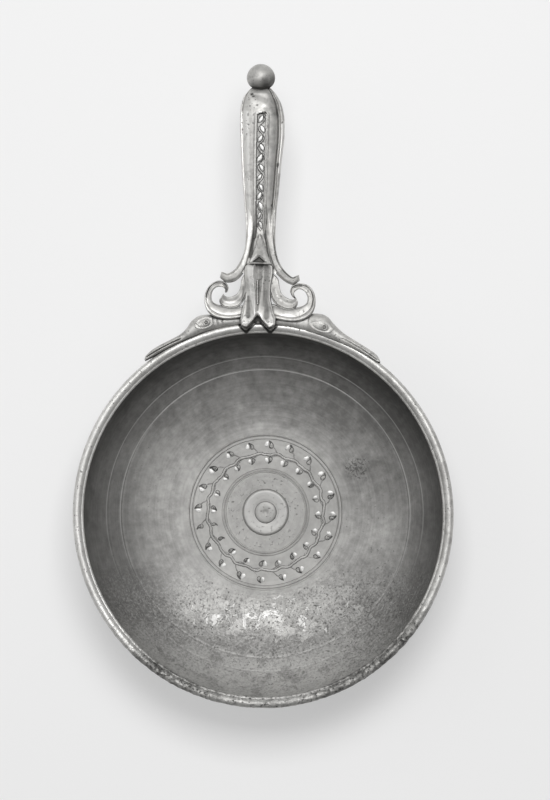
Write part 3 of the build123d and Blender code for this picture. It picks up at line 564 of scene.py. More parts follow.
def gripTop(station):
    # points across the grip's upper side, left to right
    look = gripLook
    left, right = (float(np.interp(station, gripCurve[side][:, 0], gripCurve[side][:, 1])) for side in ("left", "right"))
    size = (right - left) / 23.5
    crest = 2.3 + 4.3 * min(size, 1.0)
    half = (straight(look["channelRight"], station) - straight(look["channelLeft"], station)) / 2
    middle = (straight(look["channelRight"], station) + straight(look["channelLeft"], station)) / 2

    def narrowed(reach, end, start):
        # width of the channel or its frame: a blunt end at the top, a point at the bottom
        over = station - (end - reach * 0.6)
        if over > 0:
            return reach * max(1 - (over / (reach * 0.6)) ** 3, 0) ** (1 / 3)
        return reach * ease(start, start + 6.0, station)

    channel = narrowed(half, look["channelEnd"], look["channelStart"])
    rim = narrowed(half + look["frame"], look["channelEnd"] + look["frame"], look["channelStart"] - 2.0)
    deep = look["channelDepth"] * min(channel / half * 1.6, 1)
    high = look["frameHigh"] * min(rim / (half + look["frame"]) * 1.5, 1)
    shoulderLeft, shoulderRight = left + 1.5 * size, right - 3.6 * size

    def dome(x):
        # the body's own swelling between its shoulders
        share = (x - middle) / ((shoulderLeft if x < middle else shoulderRight) - middle)
        return 2.7 + (crest - 2.7) * sqrt(max(1 - min(abs(share), 1) ** 2.1, 0))

    top = [(left, 0.9), (left + 0.08, 1.5), (left + 0.3 * size, 2.0), (left + 0.7 * size, 2.25), (left + 1.05 * size, 2.2), (left + 1.3 * size, 2.1), (shoulderLeft, 2.35)]
    for share in (0.04, 0.11, 0.2, 0.32, 0.46, 0.6, 0.75, 0.9):
        x = shoulderLeft + (middle - rim - 0.25 - shoulderLeft) * share
        top.append((x, dome(x)))
    x = middle - rim
    top += [(x - 0.2, dome(x - 0.2)), (x, dome(x) + high * 0.7), (x + 0.25 * min(rim, 1), dome(x) + high), (middle - channel - 0.35 * min(channel, 1), dome(middle - channel) + high)]
    top += [(middle - channel, dome(middle - channel) + high * 0.6), (middle - channel * 0.93, crest - deep * 0.9), (middle - channel * 0.8, crest - deep), (middle, crest - deep)]
    top += [(middle + channel * 0.8, crest - deep), (middle + channel * 0.93, crest - deep * 0.9), (middle + channel, dome(middle + channel) + high * 0.6)]
    x = middle + rim
    gap = rim - channel
    top += [(middle + channel + gap * share, dome(x) + high * part) for share, part in ((0.22, 1.0), (0.45, 0.95), (0.55, 0.25), (0.65, 0.9), (0.85, 0.95))]
    top += [(x, dome(x) + high * 0.6), (x + 0.2, dome(x + 0.2))]
    for share in (0.1, 0.25, 0.4, 0.55, 0.7, 0.84, 0.94):
        x = middle + rim + 0.25 + (shoulderRight - middle - rim - 0.25) * share
        top.append((x, dome(x)))
    top += [(shoulderRight, 2.6), (right - 3.2 * size, 2.5), (right - 2.85 * size, 3.0), (right - 2.5 * size, 3.05), (right - 2.2 * size, 2.6), (right - 1.9 * size, 2.45)]
    top += [(right - 1.5 * size, 2.75), (right - 1.1 * size, 2.7), (right - 0.55 * size, 2.15), (right - 0.12, 1.6), (right, 0.9)]
    # the body sinks at its root, where the two hooks and the leaf's calyx take over
    sink = 1.2 * (1 - ease(look["start"], 60.0, station))
    fade = 1 - 0.4 * ease(118.5, 122.6, station)
    return [(x, z * fade - sink * min(abs(z) / 3, 1)) for x, z in top]


def gripRing(station):
    top = gripTop(station)
    left, right = top[0][0], top[-1][0]
    below = -1.2 * (right - left) / 23.5
    ring = [(x, station, z) for x, z in top]
    for share in (0.03, 0.1, 0.22, 0.36, 0.5, 0.64, 0.78, 0.9, 0.97):
        ring.append((right + (left - right) * share, station, below + (0.7 - below) * abs(2 * share - 1) ** 2.6))
    return ring


gripStations = list(np.linspace(gripLook["start"], 108.0, 190)) + list(np.linspace(108.3, 122.4, 62))
gripHeights = {round(s, 3): gripTop(s) for s in np.arange(43, 72, 0.25)}


def gripHeight(x, y):
    top = gripHeights[round(round(min(max(y, 43), 71.75) * 4) / 4, 3)]
    return float(np.interp(x, [p for p, _ in top], [z for _, z in top]))


def ribbon(edgeA, edgeB, top, along=60, across=16, base=0.0):
    # closed band between two edges seen from above; top(u, v, x, y) is its height
    a, b = smoothLine(edgeA, along), smoothLine(edgeB, along)
    rings = []
    for i in range(along):
        u = i / (along - 1)
        ring = []
        for j in range(across + 1):
            x, y = a[i] + (b[i] - a[i]) * (j / across)
            ring.append((x, y, top(u, j / across, x, y)))
        for v, up in ((1, 0.35), (0.97, 0.0), (0.5, 0.0), (0.03, 0.0), (0, 0.35)):
            x, y = a[i] + (b[i] - a[i]) * v
            ring.append((x, y, base + up))
        rings.append(ring)
    return loftRings(rings)


def bumps(u, v, settings):
    return sum(high * exp(-((u - at) / wide) ** 2 - ((v - over) / tall) ** 2) for at, over, wide, tall, high in settings)


hookLook = {
    "leftOuter": [(-9.0, 66), (-8.35, 58), (-7.6, 50), (-7.5, 42), (-8.1, 36.7), (-9.8, 31.4), (-12.9, 26.4), (-16.4, 24.1), (-18.6, 24.6), (-20.0, 24.9)],
    "leftInner": [(-4.6, 66), (-3.6, 58), (-2.5, 50), (-3.0, 44.1), (-4.1, 38.6), (-5.5, 32.0), (-8.0, 25.2), (-12.2, 20.4), (-17.0, 19.3), (-20.8, 21.8)],
    "rightOuter": [(9.0, 66), (8.4, 58), (8.0, 50), (8.0, 42.3), (8.6, 36.5), (10.2, 31.0), (13.2, 26.3), (17.2, 22.9), (19.2, 23.5), (20.8, 24.2)],
    "rightInner": [(4.0, 66), (3.0, 58), (2.0, 50), (2.5, 43.5), (3.9, 38.2), (5.8, 31.4), (8.5, 25.2), (13.1, 20.7), (17.8, 18.8), (21.4, 21.2)],
    "crown": 5.0, "tipCrown": 3.9, "edge": 2.2,
}


def hookTop(flip):
    # a crowned band with a fine groove near its outer edge; it grows out of the grip's flank
    def top(u, v, x, y):
        v = 1 - v if flip else v
        crown = hookLook["crown"] + (hookLook["tipCrown"] - hookLook["crown"]) * min(u * 1.3, 1)
        own = hookLook["edge"] + (crown - hookLook["edge"]) * max(1 - abs(2 * v - 1) ** 3.2, 0) ** 0.5 - 0.5 * (v - 0.5)
        own -= 0.4 * exp(-((v - 0.16) / 0.045) ** 2) + 0.22 * exp(-((v - 0.86) / 0.05) ** 2)
        if y > 44 and u < 0.6:
            born = ease(62, 45, y)
            own = (gripHeight(x, y) - 0.12) * (1 - born) + own * born
        tip = sqrt(max(1 - ((u - 0.93) / 0.07) ** 2, 0)) if u > 0.93 else 1
        return own * (0.55 + 0.45 * tip)
    return top


voluteLook = {
    "leftOuter": [(-6.5, 1.2), (-9.2, 0.8), (-14.9, 0.0), (-19.2, 0.1), (-23.5, 1.2), (-27.1, 4.2), (-28.7, 9.0), (-28.2, 13.6), (-25.8, 17.9), (-21.8, 20.2), (-18.0, 19.6), (-16.1, 17.0), (-16.6, 14.6), (-17.6, 13.9)],
    "leftInner": [(-6.5, 7.6), (-8.8, 7.4), (-13.5, 6.7), (-18.3, 7.2), (-21.6, 7.7), (-24.1, 9.0), (-25.0, 11.6), (-24.3, 14.8), (-22.6, 16.6), (-20.6, 17.1), (-19.0, 16.7), (-18.0, 15.9), (-17.8, 15.2), (-17.9, 14.4)],
    "rightOuter": [(6.5, 1.0), (9.2, 0.5), (14.0, -0.4), (19.8, -0.6), (24.3, 0.7), (28.0, 3.6), (29.8, 8.2), (29.3, 14.2), (26.2, 18.4), (21.6, 19.7), (17.6, 18.5), (16.3, 15.6), (17.4, 12.8), (19.0, 11.5)],
    "rightInner": [(6.5, 8.4), (8.6, 8.2), (13.9, 6.5), (18.6, 6.7), (22.2, 7.5), (24.8, 9.0), (25.6, 11.6), (24.7, 14.5), (23.1, 16.0), (21.5, 16.6), (20.0, 16.2), (18.7, 14.9), (18.5, 13.6), (19.3, 12.2)],
}


def voluteTop(u, v, x, y):
    # v = 0 is the outer edge: a bead along it, a groove, then a broad shallow flute
    edge = min(v, 1 - v)
    height = 3.7 - 0.4 * u
    height += 0.2 * exp(-((v - 0.12) / 0.09) ** 2) - 0.32 * exp(-((v - 0.26) / 0.04) ** 2)
    height += 0.22 * exp(-((v - 0.9) / 0.06) ** 2) - 0.18 * exp(-((v - 0.62) / 0.22) ** 2)
    wall = sqrt(max(1 - (1 - min(edge / 0.1, 1)) ** 2, 0))
    tip = sqrt(max(1 - ((u - 0.95) / 0.05) ** 2, 0)) if u > 0.95 else 1
    return (1.7 + (height - 1.7) * wall) * (0.55 + 0.45 * tip)


petalLook = {
    "leftUpper": [(-5.4, 25.0), (-7.9, 23.6), (-9.4, 20.8), (-9.9, 16.8), (-11.6, 13.6), (-14.6, 11.9), (-17.0, 11.9), (-18.3, 12.7), (-18.6, 13.5)],
    "leftLower": [(-4.2, 23.0), (-5.6, 17.0), (-7.2, 11.5), (-9.2, 8.2), (-12.3, 6.1), (-15.7, 5.7), (-19.2, 7.0), (-20.5, 8.7), (-20.6, 10.4)],
    "rightUpper": [(5.0, 25.2), (8.0, 23.8), (10.1, 21.4), (10.9, 17.1), (12.1, 14.0), (14.8, 11.9), (17.4, 11.1), (18.8, 11.5), (19.4, 12.3)],
    "rightLower": [(3.8, 23.0), (5.0, 17.0), (6.6, 11.8), (8.6, 8.7), (11.2, 6.7), (14.6, 5.5), (18.2, 5.9), (20.2, 7.8), (20.6, 9.9)],
}


def petalTop(flip):
    # a shallow dished petal: v = 0 is its free upper edge, v = 1 the rim beside the volute
    def top(u, v, x, y):
        v = 1 - v if flip else v
        height = 2.9 + 1.0 * v * v - 0.55 * exp(-((v - 0.5) / 0.24) ** 2) * ease(0.1, 0.5, u)
        height += 0.42 * exp(-((v - 0.95) / 0.03) ** 2) - 0.3 * exp(-((v - 0.88) / 0.022) ** 2)
        wall = sqrt(max(1 - (1 - min(v / 0.09, 1)) ** 2, 0))
        lift = 0.7 * ease(0.82, 1.0, u) * (1 - 0.5 * v)
        rounded = sqrt(max(1 - (max(u - 0.965, 0) / 0.035) ** 2, 0))
        return 1.3 + (height + lift - 1.3) * wall * (0.5 + 0.5 * rounded)
    return top


leafLook = {
    "leftOuter": [(-3.4, 29.4), (-7.4, 28.2), (-8.0, 24.6), (-7.5, 20.0), (-7.1, 15.6), (-7.4, 10.4), (-8.6, 6.0), (-9.3, 2.0), (-9.4, -1.0), (-8.6, -3.9), (-7.1, -5.5)],
    "leftInner": [(-1.4, 29.4), (-1.0, 26.0), (-0.8, 20.0), (-0.6, 14.0), (-0.5, 9.0), (-0.45, 5.6), (-0.4, 3.4), (-0.6, 1.6), (-1.8, -0.3), (-3.5, -2.6), (-5.9, -5.3)],
    "rightOuter": [(3.6, 29.6), (6.8, 28.4), (7.3, 24.6), (6.6, 20.0), (6.2, 15.9), (6.5, 10.7), (7.3, 7.2), (8.4, 3.3), (9.3, 0.2), (8.6, -3.5), (7.0, -5.4)],
    "rightInner": [(-1.4, 29.4), (-1.0, 26.0), (-0.8, 20.0), (-0.6, 14.0), (-0.5, 9.0), (-0.45, 5.6), (-0.4, 3.2), (0.0, 1.6), (1.2, -0.3), (3.1, -2.7), (5.7, -5.3)],
    # swellings and hollows: along, across, length, width, height
    "leftSwells": [(0.7, 0.48, 0.13, 0.26, -0.75), (0.84, 0.6, 0.07, 0.3, 0.25)],
    "rightSwells": [(0.66, 0.45, 0.13, 0.26, -0.45), (0.82, 0.5, 0.08, 0.3, 0.3)],
}


def leafTop(side):
    # v = 0 is the outer edge and v = 1 the midrib; the foot of each half is a lobe with a steep front
    def top(u, v, x, y):
        v = v if side < 0 else 1 - v
        foot = ease(0.45, 0.8, u)
        crest = 6.1 - 0.5 * u
        edge = 3.9 + 0.9 * foot
        if side < 0:
            ridge = 0.62 + 0.3 * u
            if v < ridge:
                height = edge + (crest - edge) * (v / ridge) ** 1.25
            else:
                height = crest - (1.3 * (1 - u) + 0.4) * ((v - ridge) / (1 - ridge)) ** 0.9
            height += bumps(u, v, leafLook["leftSwells"])
        else:
            middle = crest - 1.7 + 1.3 * u
            height = edge + 0.6 + (middle - edge - 0.6) * v**0.8 + 0.3 * exp(-((v - 0.1) / 0.07) ** 2) * (1 - foot)
            height -= 0.5 * exp(-((v - 0.6) / 0.22) ** 2) * (1 - foot)
            height += bumps(u, v, leafLook["rightSwells"])
        falls = ease(0.7, 0.84, u)
        height += 0.4 * exp(-((v - 0.08) / 0.05) ** 2) * foot + 0.45 * exp(-((v - 0.83) / 0.05) ** 2) * falls
        rim = sqrt(max(1 - (1 - min(v / 0.05, 1)) ** 2, 0))
        height += 0.3 * exp(-((u - 0.93) / 0.016) ** 2)
        front = (1 - 0.9 * ease(0.93, 0.998, u) ** 1.4) * (1 - 0.6 * ease(0.85, 1.0, v) * falls)
        return (1.6 + (height - 1.6) * rim) * front
    return top


calyxLook = {
    "left": [(-0.4, 44.8), (-1.2, 42.0), (-2.3, 38.0), (-3.6, 33.6), (-5.3, 29.0)],
    "right": [(0.3, 44.8), (1.5, 42.0), (2.9, 38.0), (4.6, 33.2), (6.3, 28.9)],
    "notch": (0.75, 0.915), "notchMiddle": 0.44, "notchSlope": 1.7,
}


def calyxTop(u, v, x, y):
    # raised three-cornered tongue, keeled, with a sunk triangle and a sill at its foot
    start, end = calyxLook["notch"]
    height = 5.3 + 1.0 * u - (0.5 + 0.7 * u) * abs(2 * v - 0.9) ** 2.4
    away = abs(v - calyxLook["notchMiddle"])
    deep = ease(0.0, 0.035, u - start - away / calyxLook["notchSlope"] / 1.25) * ease(end, end - 0.015, u)
    height -= 0.65 * deep
    height += 0.7 * exp(-((u - start + 0.03 - away / calyxLook["notchSlope"] / 1.25) / 0.028) ** 2) * ease(0.34, 0.24, away)
    height += 0.3 * exp(-((u - 0.95) / 0.02) ** 2)
    return height * (1 - 0.4 * ease(0.985, 1.0, u))


webEdges = (
    [(-3.2, 52), (-3.2, 45), (-4.8, 38), (-6.4, 32), (-8.8, 27), (-8.8, 24.4)],
    [(3.0, 52), (3.0, 45), (4.6, 38), (6.6, 32), (8.9, 27), (9.0, 24.4)],
)


handleParts = [
    loftRings([gripRing(station) for station in gripStations]),
    ribbon(hookLook["leftOuter"], hookLook["leftInner"], hookTop(False), 130, 30),
    ribbon(hookLook["rightInner"], hookLook["rightOuter"], hookTop(True), 130, 30),
    ribbon(voluteLook["leftOuter"], voluteLook["leftInner"], voluteTop, 190, 34),
    ribbon(voluteLook["rightOuter"], voluteLook["rightInner"], voluteTop, 190, 34),
    ribbon(petalLook["leftUpper"], petalLook["leftLower"], petalTop(False), 90, 50),
    ribbon(petalLook["rightLower"], petalLook["rightUpper"], petalTop(True), 90, 50),
    ribbon(leafLook["leftOuter"], leafLook["leftInner"], leafTop(-1), 130, 44),
    ribbon(leafLook["rightInner"], leafLook["rightOuter"], leafTop(1), 130, 44),
    ribbon(calyxLook["left"], calyxLook["right"], calyxTop, 110, 50, base=1.0),
    ribbon(*webEdges, lambda u, v, x, y: 3.0 + 0.3 * u, 60, 20),
]
handleBody = meshPiece("handleBody", joined(handleParts), castBronze, 50, onHandle)
print("handle made", len(handleBody.data.polygons), "faces")

# knob: a flattened ball turned about the grip's axis, with a dark joint under it
knobLook = {"middle": -1.3, "seat": 122.2, "level": 1.5, "segments": 96}


def turnedOnGrip(name, outline, material):
    piece = grow(name, pointCloud([(r, 0, h) for r, h in outline]), turnedShape, {
        "Segments": knobLook["segments"], "Profile Points": len(outline), "Wear": 0.0002, "Wear Scale": 220.0, "Worn Share": 1.0, "Seed": 4.0,
    }, material)
    for vertex in piece.data.vertices:
        x, y, z = vertex.co / mm
        vertex.co = [c * mm for c in onHandle(knobLook["middle"] + x, knobLook["seat"] + z, knobLook["level"] - y)]
    return piece


knobOutline = [(0, -1.0), (2.4, -1.0), (3.2, -0.6), (4.8, 0.0), (6.2, 1.2), (7.1, 2.9), (7.45, 4.8), (7.2, 6.7), (6.4, 8.6), (5.1, 10.2), (3.5, 11.4), (1.75, 12.1), (0, 12.3)]
knobBall = turnedOnGrip("knobBall", [tuple(p) for p in smoothLine(knobOutline, 60)], castBronze)
knobJoint = turnedOnGrip("knobJoint", [(0, -0.9), (2.7, -0.9), (3.0, -0.6), (3.1, -0.3), (3.1, 0.0), (2.9, 0.25), (0, 0.25)], darkInlay)


claspLook = {
    "outer": [(-37.3, 102.9), (-36.2, 104.2), (-33, 104.8), (-28, 104.4), (-24.6, 104.7), (-22.4, 106.1), (-20.1, 108.9), (-17.5, 110.2), (-14.8, 109.2), (-12.8, 107.4), (-10, 106.2), (0, 106.0), (9, 106.2), (12.5, 108.4), (15.6, 110.1), (18.1, 109.8), (20.7, 107.1), (24.3, 104.7), (29.5, 103.8), (34.7, 103.6), (36.4, 102.8), (37.6, 101.6)],
    "inner": [(-37.3, 101.9), (-34.2, 101.1), (-27.5, 100.5), (-20.9, 100.4), (-14.5, 101.0), (-8.4, 101.0), (0, 100.4), (6.7, 99.8), (12.9, 99.2), (22, 98.9), (29.2, 99.3), (35.4, 99.9), (37.6, 100.9)],
    "high": [(-37.3, 0.4), (-35, 0.9), (-25.5, 1.5), (-21.8, 2.1), (-17.2, 3.0), (-13.6, 2.3), (-12.4, 1.6), (12.0, 1.6), (13.4, 2.3), (17.2, 3.0), (21.8, 2.1), (25.5, 1.5), (35, 0.9), (37.6, 0.4)],
    "low": [(-37.3, -1.6), (-33, -3.2), (-25.5, -4.2), (-17.6, -5.4), (-11, -5.0), (11, -5.0), (17.6, -5.4), (25.5, -4.2), (33, -3.2), (37.6, -1.6)],
    "eyes": ((-16.3, 105.6), (18.2, 104.0)), "slits": (((-36, 103.3), (-25.5, 102.4)), ((25.5, 101.9), (36, 101.5))),
    "collars": (-12.9, -11.6), "across": 56, "along": 620,
}
claspCurve = {key: smoothLine(claspLook[key], 500) for key in ("outer", "inner", "high", "low")}


def claspRelief(turn, r):
    # eye in its almond-shaped socket, the slit of the bill, two rings round the neck
    relief = 0.0
    eyeTurn, eyeRadius = claspLook["eyes"][0 if turn < 0 else 1]
    side = -1 if turn < 0 else 1
    along = (turn - eyeTurn) * pi / 180 * 105 * side
    over = r - eyeRadius
    away = sqrt(along**2 + over**2)
    relief += 0.3 * exp(-((away - 1.35) / 0.32) ** 2) - 0.28 * exp(-((away - 0.75) / 0.25) ** 2) + 0.3 * exp(-((away) / 0.45) ** 2)
    scratch = 0.5 + 0.5 * sin(along * 5.1 + over * 2.3) * sin(over * 6.7 - along * 1.9)
    socket = sqrt(((along - (0.9 if turn < 0 else -1.9)) / (4.9 if turn < 0 else 6.2)) ** 2 + (over / 2.8) ** 2)
    relief += 0.24 * exp(-((socket - 1.0) / 0.09) ** 2) * (0.25 + 0.75 * scratch) - 0.3 * exp(-((socket - 0.76) / 0.12) ** 2) * (0.3 + 0.7 * scratch)
    relief += 0.3 * (scratch - 0.5) * exp(-(socket / 0.9) ** 4) * (1 - exp(-((away) / 1.6) ** 4))
    relief += 0.22 * exp(-(((along - 4.2) - over * 0.5) / 0.35) ** 2) * exp(-(over / 2.2) ** 2)
    start, end = claspLook["slits"][0 if turn < 0 else 1]
    line = start[1] + (end[1] - start[1]) * (turn - start[0]) / (end[0] - start[0])
    if start[0] - 1 < turn < end[0] + 1:
        relief -= (0.75 if turn < 0 else 0.45) * exp(-((r - line) / 0.26) ** 2) * ease(start[0] - 1, start[0], turn) * ease(end[0] + 1, end[0], turn)
        relief += 0.18 * exp(-((r - line - 0.8) / 0.4) ** 2) + 0.12 * exp(-((r - line + 0.7) / 0.3) ** 2)
    for collar in claspLook["collars"]:
        relief += 0.4 * exp(-(((turn - collar) * 1.83 - (r - 103) * 0.25 * side) / 0.28) ** 2)
    return relief


def claspRing(turn):
    outer, inner, high, low = (float(np.interp(turn, claspCurve[key][:, 0], claspCurve[key][:, 1])) for key in ("outer", "inner", "high", "low"))
    around = radians(turn)
    ring = []
    count = claspLook["across"]
    for k in range(count + 1):
        v = k / count
        share = (1 - cos(pi * v)) / 2
        r = inner + (outer - inner) * share
        dome = max(1 - abs(2 * share - 1) ** 2.3, 0) ** 0.5
        z = -1.5 + (high + 1.5) * dome + claspRelief(turn, r) * min(dome * 1.5, 1)
        ring.append((r, z))
    for share in (0.985, 0.9, 0.7, 0.45, 0.2, 0.05):
        ring.append((inner + (outer - inner) * share, -1.5 + (low + 1.5) * (1 - abs(2 * share - 1) ** 3) ** 0.5))
    return [(r * sin(around), r * cos(around), rimTop + z) for r, z in ring]


swanClasp = meshPiece("swanClasp", loftRings([claspRing(turn) for turn in np.linspace(-37.3, 37.6, claspLook["along"])]), castBronze, 60)
print("clasp made", len(swanClasp.data.polygons), "faces")


def holderOf(points, faces, name="seed"):
    mesh = bpy.data.meshes.new(name)
    mesh.from_pydata([(x * mm, y * mm, z * mm) for x, y, z in points], [], faces)
    holder = bpy.data.objects.new(name, mesh)
    bpy.context.scene.collection.objects.link(holder)
    return holder


def cushionShape(outline, high, bulge):
    # a small pillow on a flat outline
    middle = np.mean(np.array(outline), axis=0)
    rings = []
    for size, z in ((1.0, 0.0), (1.0, high * 0.6), (0.86, high * 0.9), (0.5, high * bulge)):
        rings.append([(middle[0] + (x - middle[0]) * size, middle[1] + (y - middle[1]) * size, z) for x, y in outline])
    return loftRings(rings)


def leafRingGroup():
    # copies of one small shape on a circle, each a little turned and sized its own way
    group, tree, given = newGroup("leafRing", {
        "Count": ("Int", 20), "Radius": ("Float", 0.035), "First Turn": ("Float", 0.0), "Facing": ("Float", 0.0), "Level": ("Float", 0.0),
        "Turn Wobble": ("Float", 0.02), "Size Wobble": ("Float", 0.1), "Lost First": ("Int", -1), "Lost Count": ("Int", 0), "Seed": ("Int", 1), "Material": ("Material", None),
    })
    index = tree.node("GeometryNodeInputIndex")
    sway = tree.node("FunctionNodeRandomValue", {"data_type": "FLOAT"}, {2: given["Turn Wobble"] * -1.0, 3: given["Turn Wobble"], "Seed": given["Seed"]}, out=1)
    sized = tree.node("FunctionNodeRandomValue", {"data_type": "FLOAT"}, {2: 1.0 - given["Size Wobble"], 3: given["Size Wobble"] + 1.0, "Seed": given["Seed"] + 7}, out=1)
    shift = tree.node("FunctionNodeRandomValue", {"data_type": "FLOAT"}, {2: -0.0003, 3: 0.0003, "Seed": given["Seed"] + 13}, out=1)
    tilt = tree.node("FunctionNodeRandomValue", {"data_type": "FLOAT"}, {2: -0.22, 3: 0.22, "Seed": given["Seed"] + 19}, out=1)
    angle = index * (1.0 / given["Count"]) * (2 * pi) + given["First Turn"] + sway
    radius = given["Radius"] + shift
    spot = tree.node("ShaderNodeCombineXYZ", {}, {"X": radius * angle.math("COSINE"), "Y": radius * angle.math("SINE"), "Z": given["Level"]})
    points = tree.node("GeometryNodePoints", {}, {"Count": given["Count"], "Position": spot})
    euler = tree.node("ShaderNodeCombineXYZ", {}, {"X": 0.0, "Y": 0.0, "Z": angle + given["Facing"] + tilt})
    rotation = tree.node("FunctionNodeEulerToRotation", {}, {0: euler})
    past = index.math("GREATER_THAN", given["Lost First"] - 0.5) * index.math("LESS_THAN", given["Lost First"] + given["Lost Count"] - 0.5)
    copies = tree.node("GeometryNodeInstanceOnPoints", {}, {"Points": points, "Selection": 1.0 - past, "Instance": given["Geometry"], "Rotation": rotation, "Scale": tree.node("ShaderNodeCombineXYZ", {}, {0: sized, 1: sized, 2: 1.0})})
    closeGroup(tree, given, copies)
    return group


def sweptTrail(tree, curve, given):
    # a low rounded bead along a curve
    bead = tree.node("GeometryNodeCurvePrimitiveCircle", {}, {"Resolution": 8, "Radius": given["Width"] * 0.5})
    flat = tree.node("GeometryNodeTransform", {}, {"Geometry": bead, "Scale": (1.0, 0.45, 1.0)})
    return tree.node("GeometryNodeCurveToMesh", {}, {"Curve": curve, "Profile Curve": flat, "Fill Caps": True})


def scrollGroup():
    # the wavy stem round the floor with a curling stalk to each leaf
    group, tree, given = newGroup("ivyScroll", {
        "Count": ("Int", 20), "Radius": ("Float", 0.0314), "Wave": ("Float", 0.0005), "Width": ("Float", 0.001), "Stalk Width": ("Float", 0.8),
        "Outer Reach": ("Float", 0.0035), "Inner Reach": ("Float", 0.003), "Level": ("Float", 0.0), "Seed": ("Int", 1), "Material": ("Material", None),
    })
    ring = tree.node("GeometryNodeCurvePrimitiveCircle", {}, {"Resolution": 480, "Radius": 1.0})
    at = tree.node("ShaderNodeSeparateXYZ", {}, {0: tree.node("GeometryNodeInputPosition")})
    angle = tree.out(at, "Y").math("ARCTAN2", tree.out(at, "X"))
    drift = tree.node("ShaderNodeTexNoise", {}, {"Vector": tree.node("GeometryNodeInputPosition"), "Scale": 9.0, "Detail": 3.0})
    radius = given["Radius"] + (angle * given["Count"] - 0.6).math("SINE") * given["Wave"] + (drift - 0.5) * 0.0022
    spot = tree.node("ShaderNodeCombineXYZ", {}, {"X": radius * angle.math("COSINE"), "Y": radius * angle.math("SINE"), "Z": given["Level"]})
    stem = tree.node("GeometryNodeSetPosition", {}, {"Geometry": ring, "Position": spot})
    parts = [sweptTrail(tree, stem, given)]
    for reach, side in ((given["Outer Reach"], 1.0), (given["Inner Reach"], -1.0)):
        # the stalk leaves along the stem, bends away and curls back to its leaf
        start = tree.node("ShaderNodeCombineXYZ", {}, {0: 0.0, 1: -0.0002, 2: 0.0})
        first = tree.node("ShaderNodeCombineXYZ", {}, {0: reach * 0.1 * side, 1: 0.0042, 2: 0.0})
        second = tree.node("ShaderNodeCombineXYZ", {}, {0: reach * 1.35 * side, 1: 0.0032, 2: 0.0})
        end = tree.node("ShaderNodeCombineXYZ", {}, {0: reach * side, 1: 0.0072, 2: 0.0})
        stalk = tree.node("GeometryNodeCurvePrimitiveBezierSegment", {"mode": "POSITION"}, {"Resolution": 14, "Start": start, "Start Handle": first, "End Handle": second, "End": end})
        index = tree.node("GeometryNodeInputIndex")
        sway = tree.node("FunctionNodeRandomValue", {"data_type": "FLOAT"}, {2: -0.02, 3: 0.02, "Seed": given["Seed"]}, out=1)
        turn = index * (1.0 / given["Count"]) * (2 * pi) + sway + 0.04
        foot = tree.node("ShaderNodeCombineXYZ", {}, {"X": given["Radius"] * turn.math("COSINE"), "Y": given["Radius"] * turn.math("SINE"), "Z": given["Level"]})
        points = tree.node("GeometryNodePoints", {}, {"Count": given["Count"], "Position": foot})
        rotation = tree.node("FunctionNodeEulerToRotation", {}, {0: tree.node("ShaderNodeCombineXYZ", {}, {0: 0.0, 1: 0.0, 2: turn})})
        copies = tree.node("GeometryNodeInstanceOnPoints", {}, {"Points": points, "Instance": stalk, "Rotation": rotation})
        real = tree.node("GeometryNodeRealizeInstances", {}, {0: copies})
        bead = tree.node("GeometryNodeCurvePrimitiveCircle", {}, {"Resolution": 8, "Radius": given["Width"] * given["Stalk Width"] * 0.5})
        flat = tree.node("GeometryNodeTransform", {}, {"Geometry": bead, "Scale": (1.0, 0.45, 1.0)})
        parts.append(tree.node("GeometryNodeCurveToMesh", {}, {"Curve": real, "Profile Curve": flat, "Fill Caps": True}))
    together = tree.node("GeometryNodeJoinGeometry", {}, {}, out=None)
    for part in parts:
        tree.links.new(part.socket, together.inputs[0])
    closeGroup(tree, given, Value(tree, together.outputs[0]))
    return group


leafRing, ivyScroll = leafRingGroup(), scrollGroup()
scrollLook = {
    "outerBase": 35.0, "innerBase": 29.3, "turn": radians(14.5), "level": 6.76,
    # half an ivy leaf along +X, its outer edge on the +Y side
    "silver": [(0.3, 0.3), (0.0, 1.0), (0.15, 1.75), (0.8, 2.2), (1.6, 2.15), (2.35, 1.7), (2.85, 1.1), (2.9, 0.5), (2.2, 0.2), (1.2, 0.15)],
    "dark": [(0.0, -0.1), (-0.5, -0.8), (-0.55, -1.7), (0.0, -2.4), (0.9, -2.6), (1.8, -2.3), (2.6, -1.7), (3.2, -0.9), (3.7, 0.1), (2.9, 0.3), (2.3, -0.3), (1.2, -0.15)],
    "core": [(0.3, -0.5), (-0.1, -1.0), (-0.1, -1.6), (0.3, -2.1), (0.9, -2.25), (1.55, -1.95), (2.1, -1.5), (2.3, -1.0), (1.9, -0.75), (1.1, -0.62)],
}


def mirrored(outline):
    return [(x, -y) for x, y in outline]


def leafPiece(name, outline, high, radius, facing, material, seed, lost=(-1, 0), size=1.0):
    source = holderOf(*cushionShape([(x * size, y * size) for x, y in outline], high, 1.05))
    return grow(name, source, leafRing, {
        "Count": 20, "Radius": radius * mm, "First Turn": scrollLook["turn"], "Facing": facing, "Level": scrollLook["level"] * mm,
        "Turn Wobble": 0.02, "Size Wobble": 0.12, "Lost First": lost[0], "Lost Count": lost[1], "Seed": seed,
    }, material, 50)


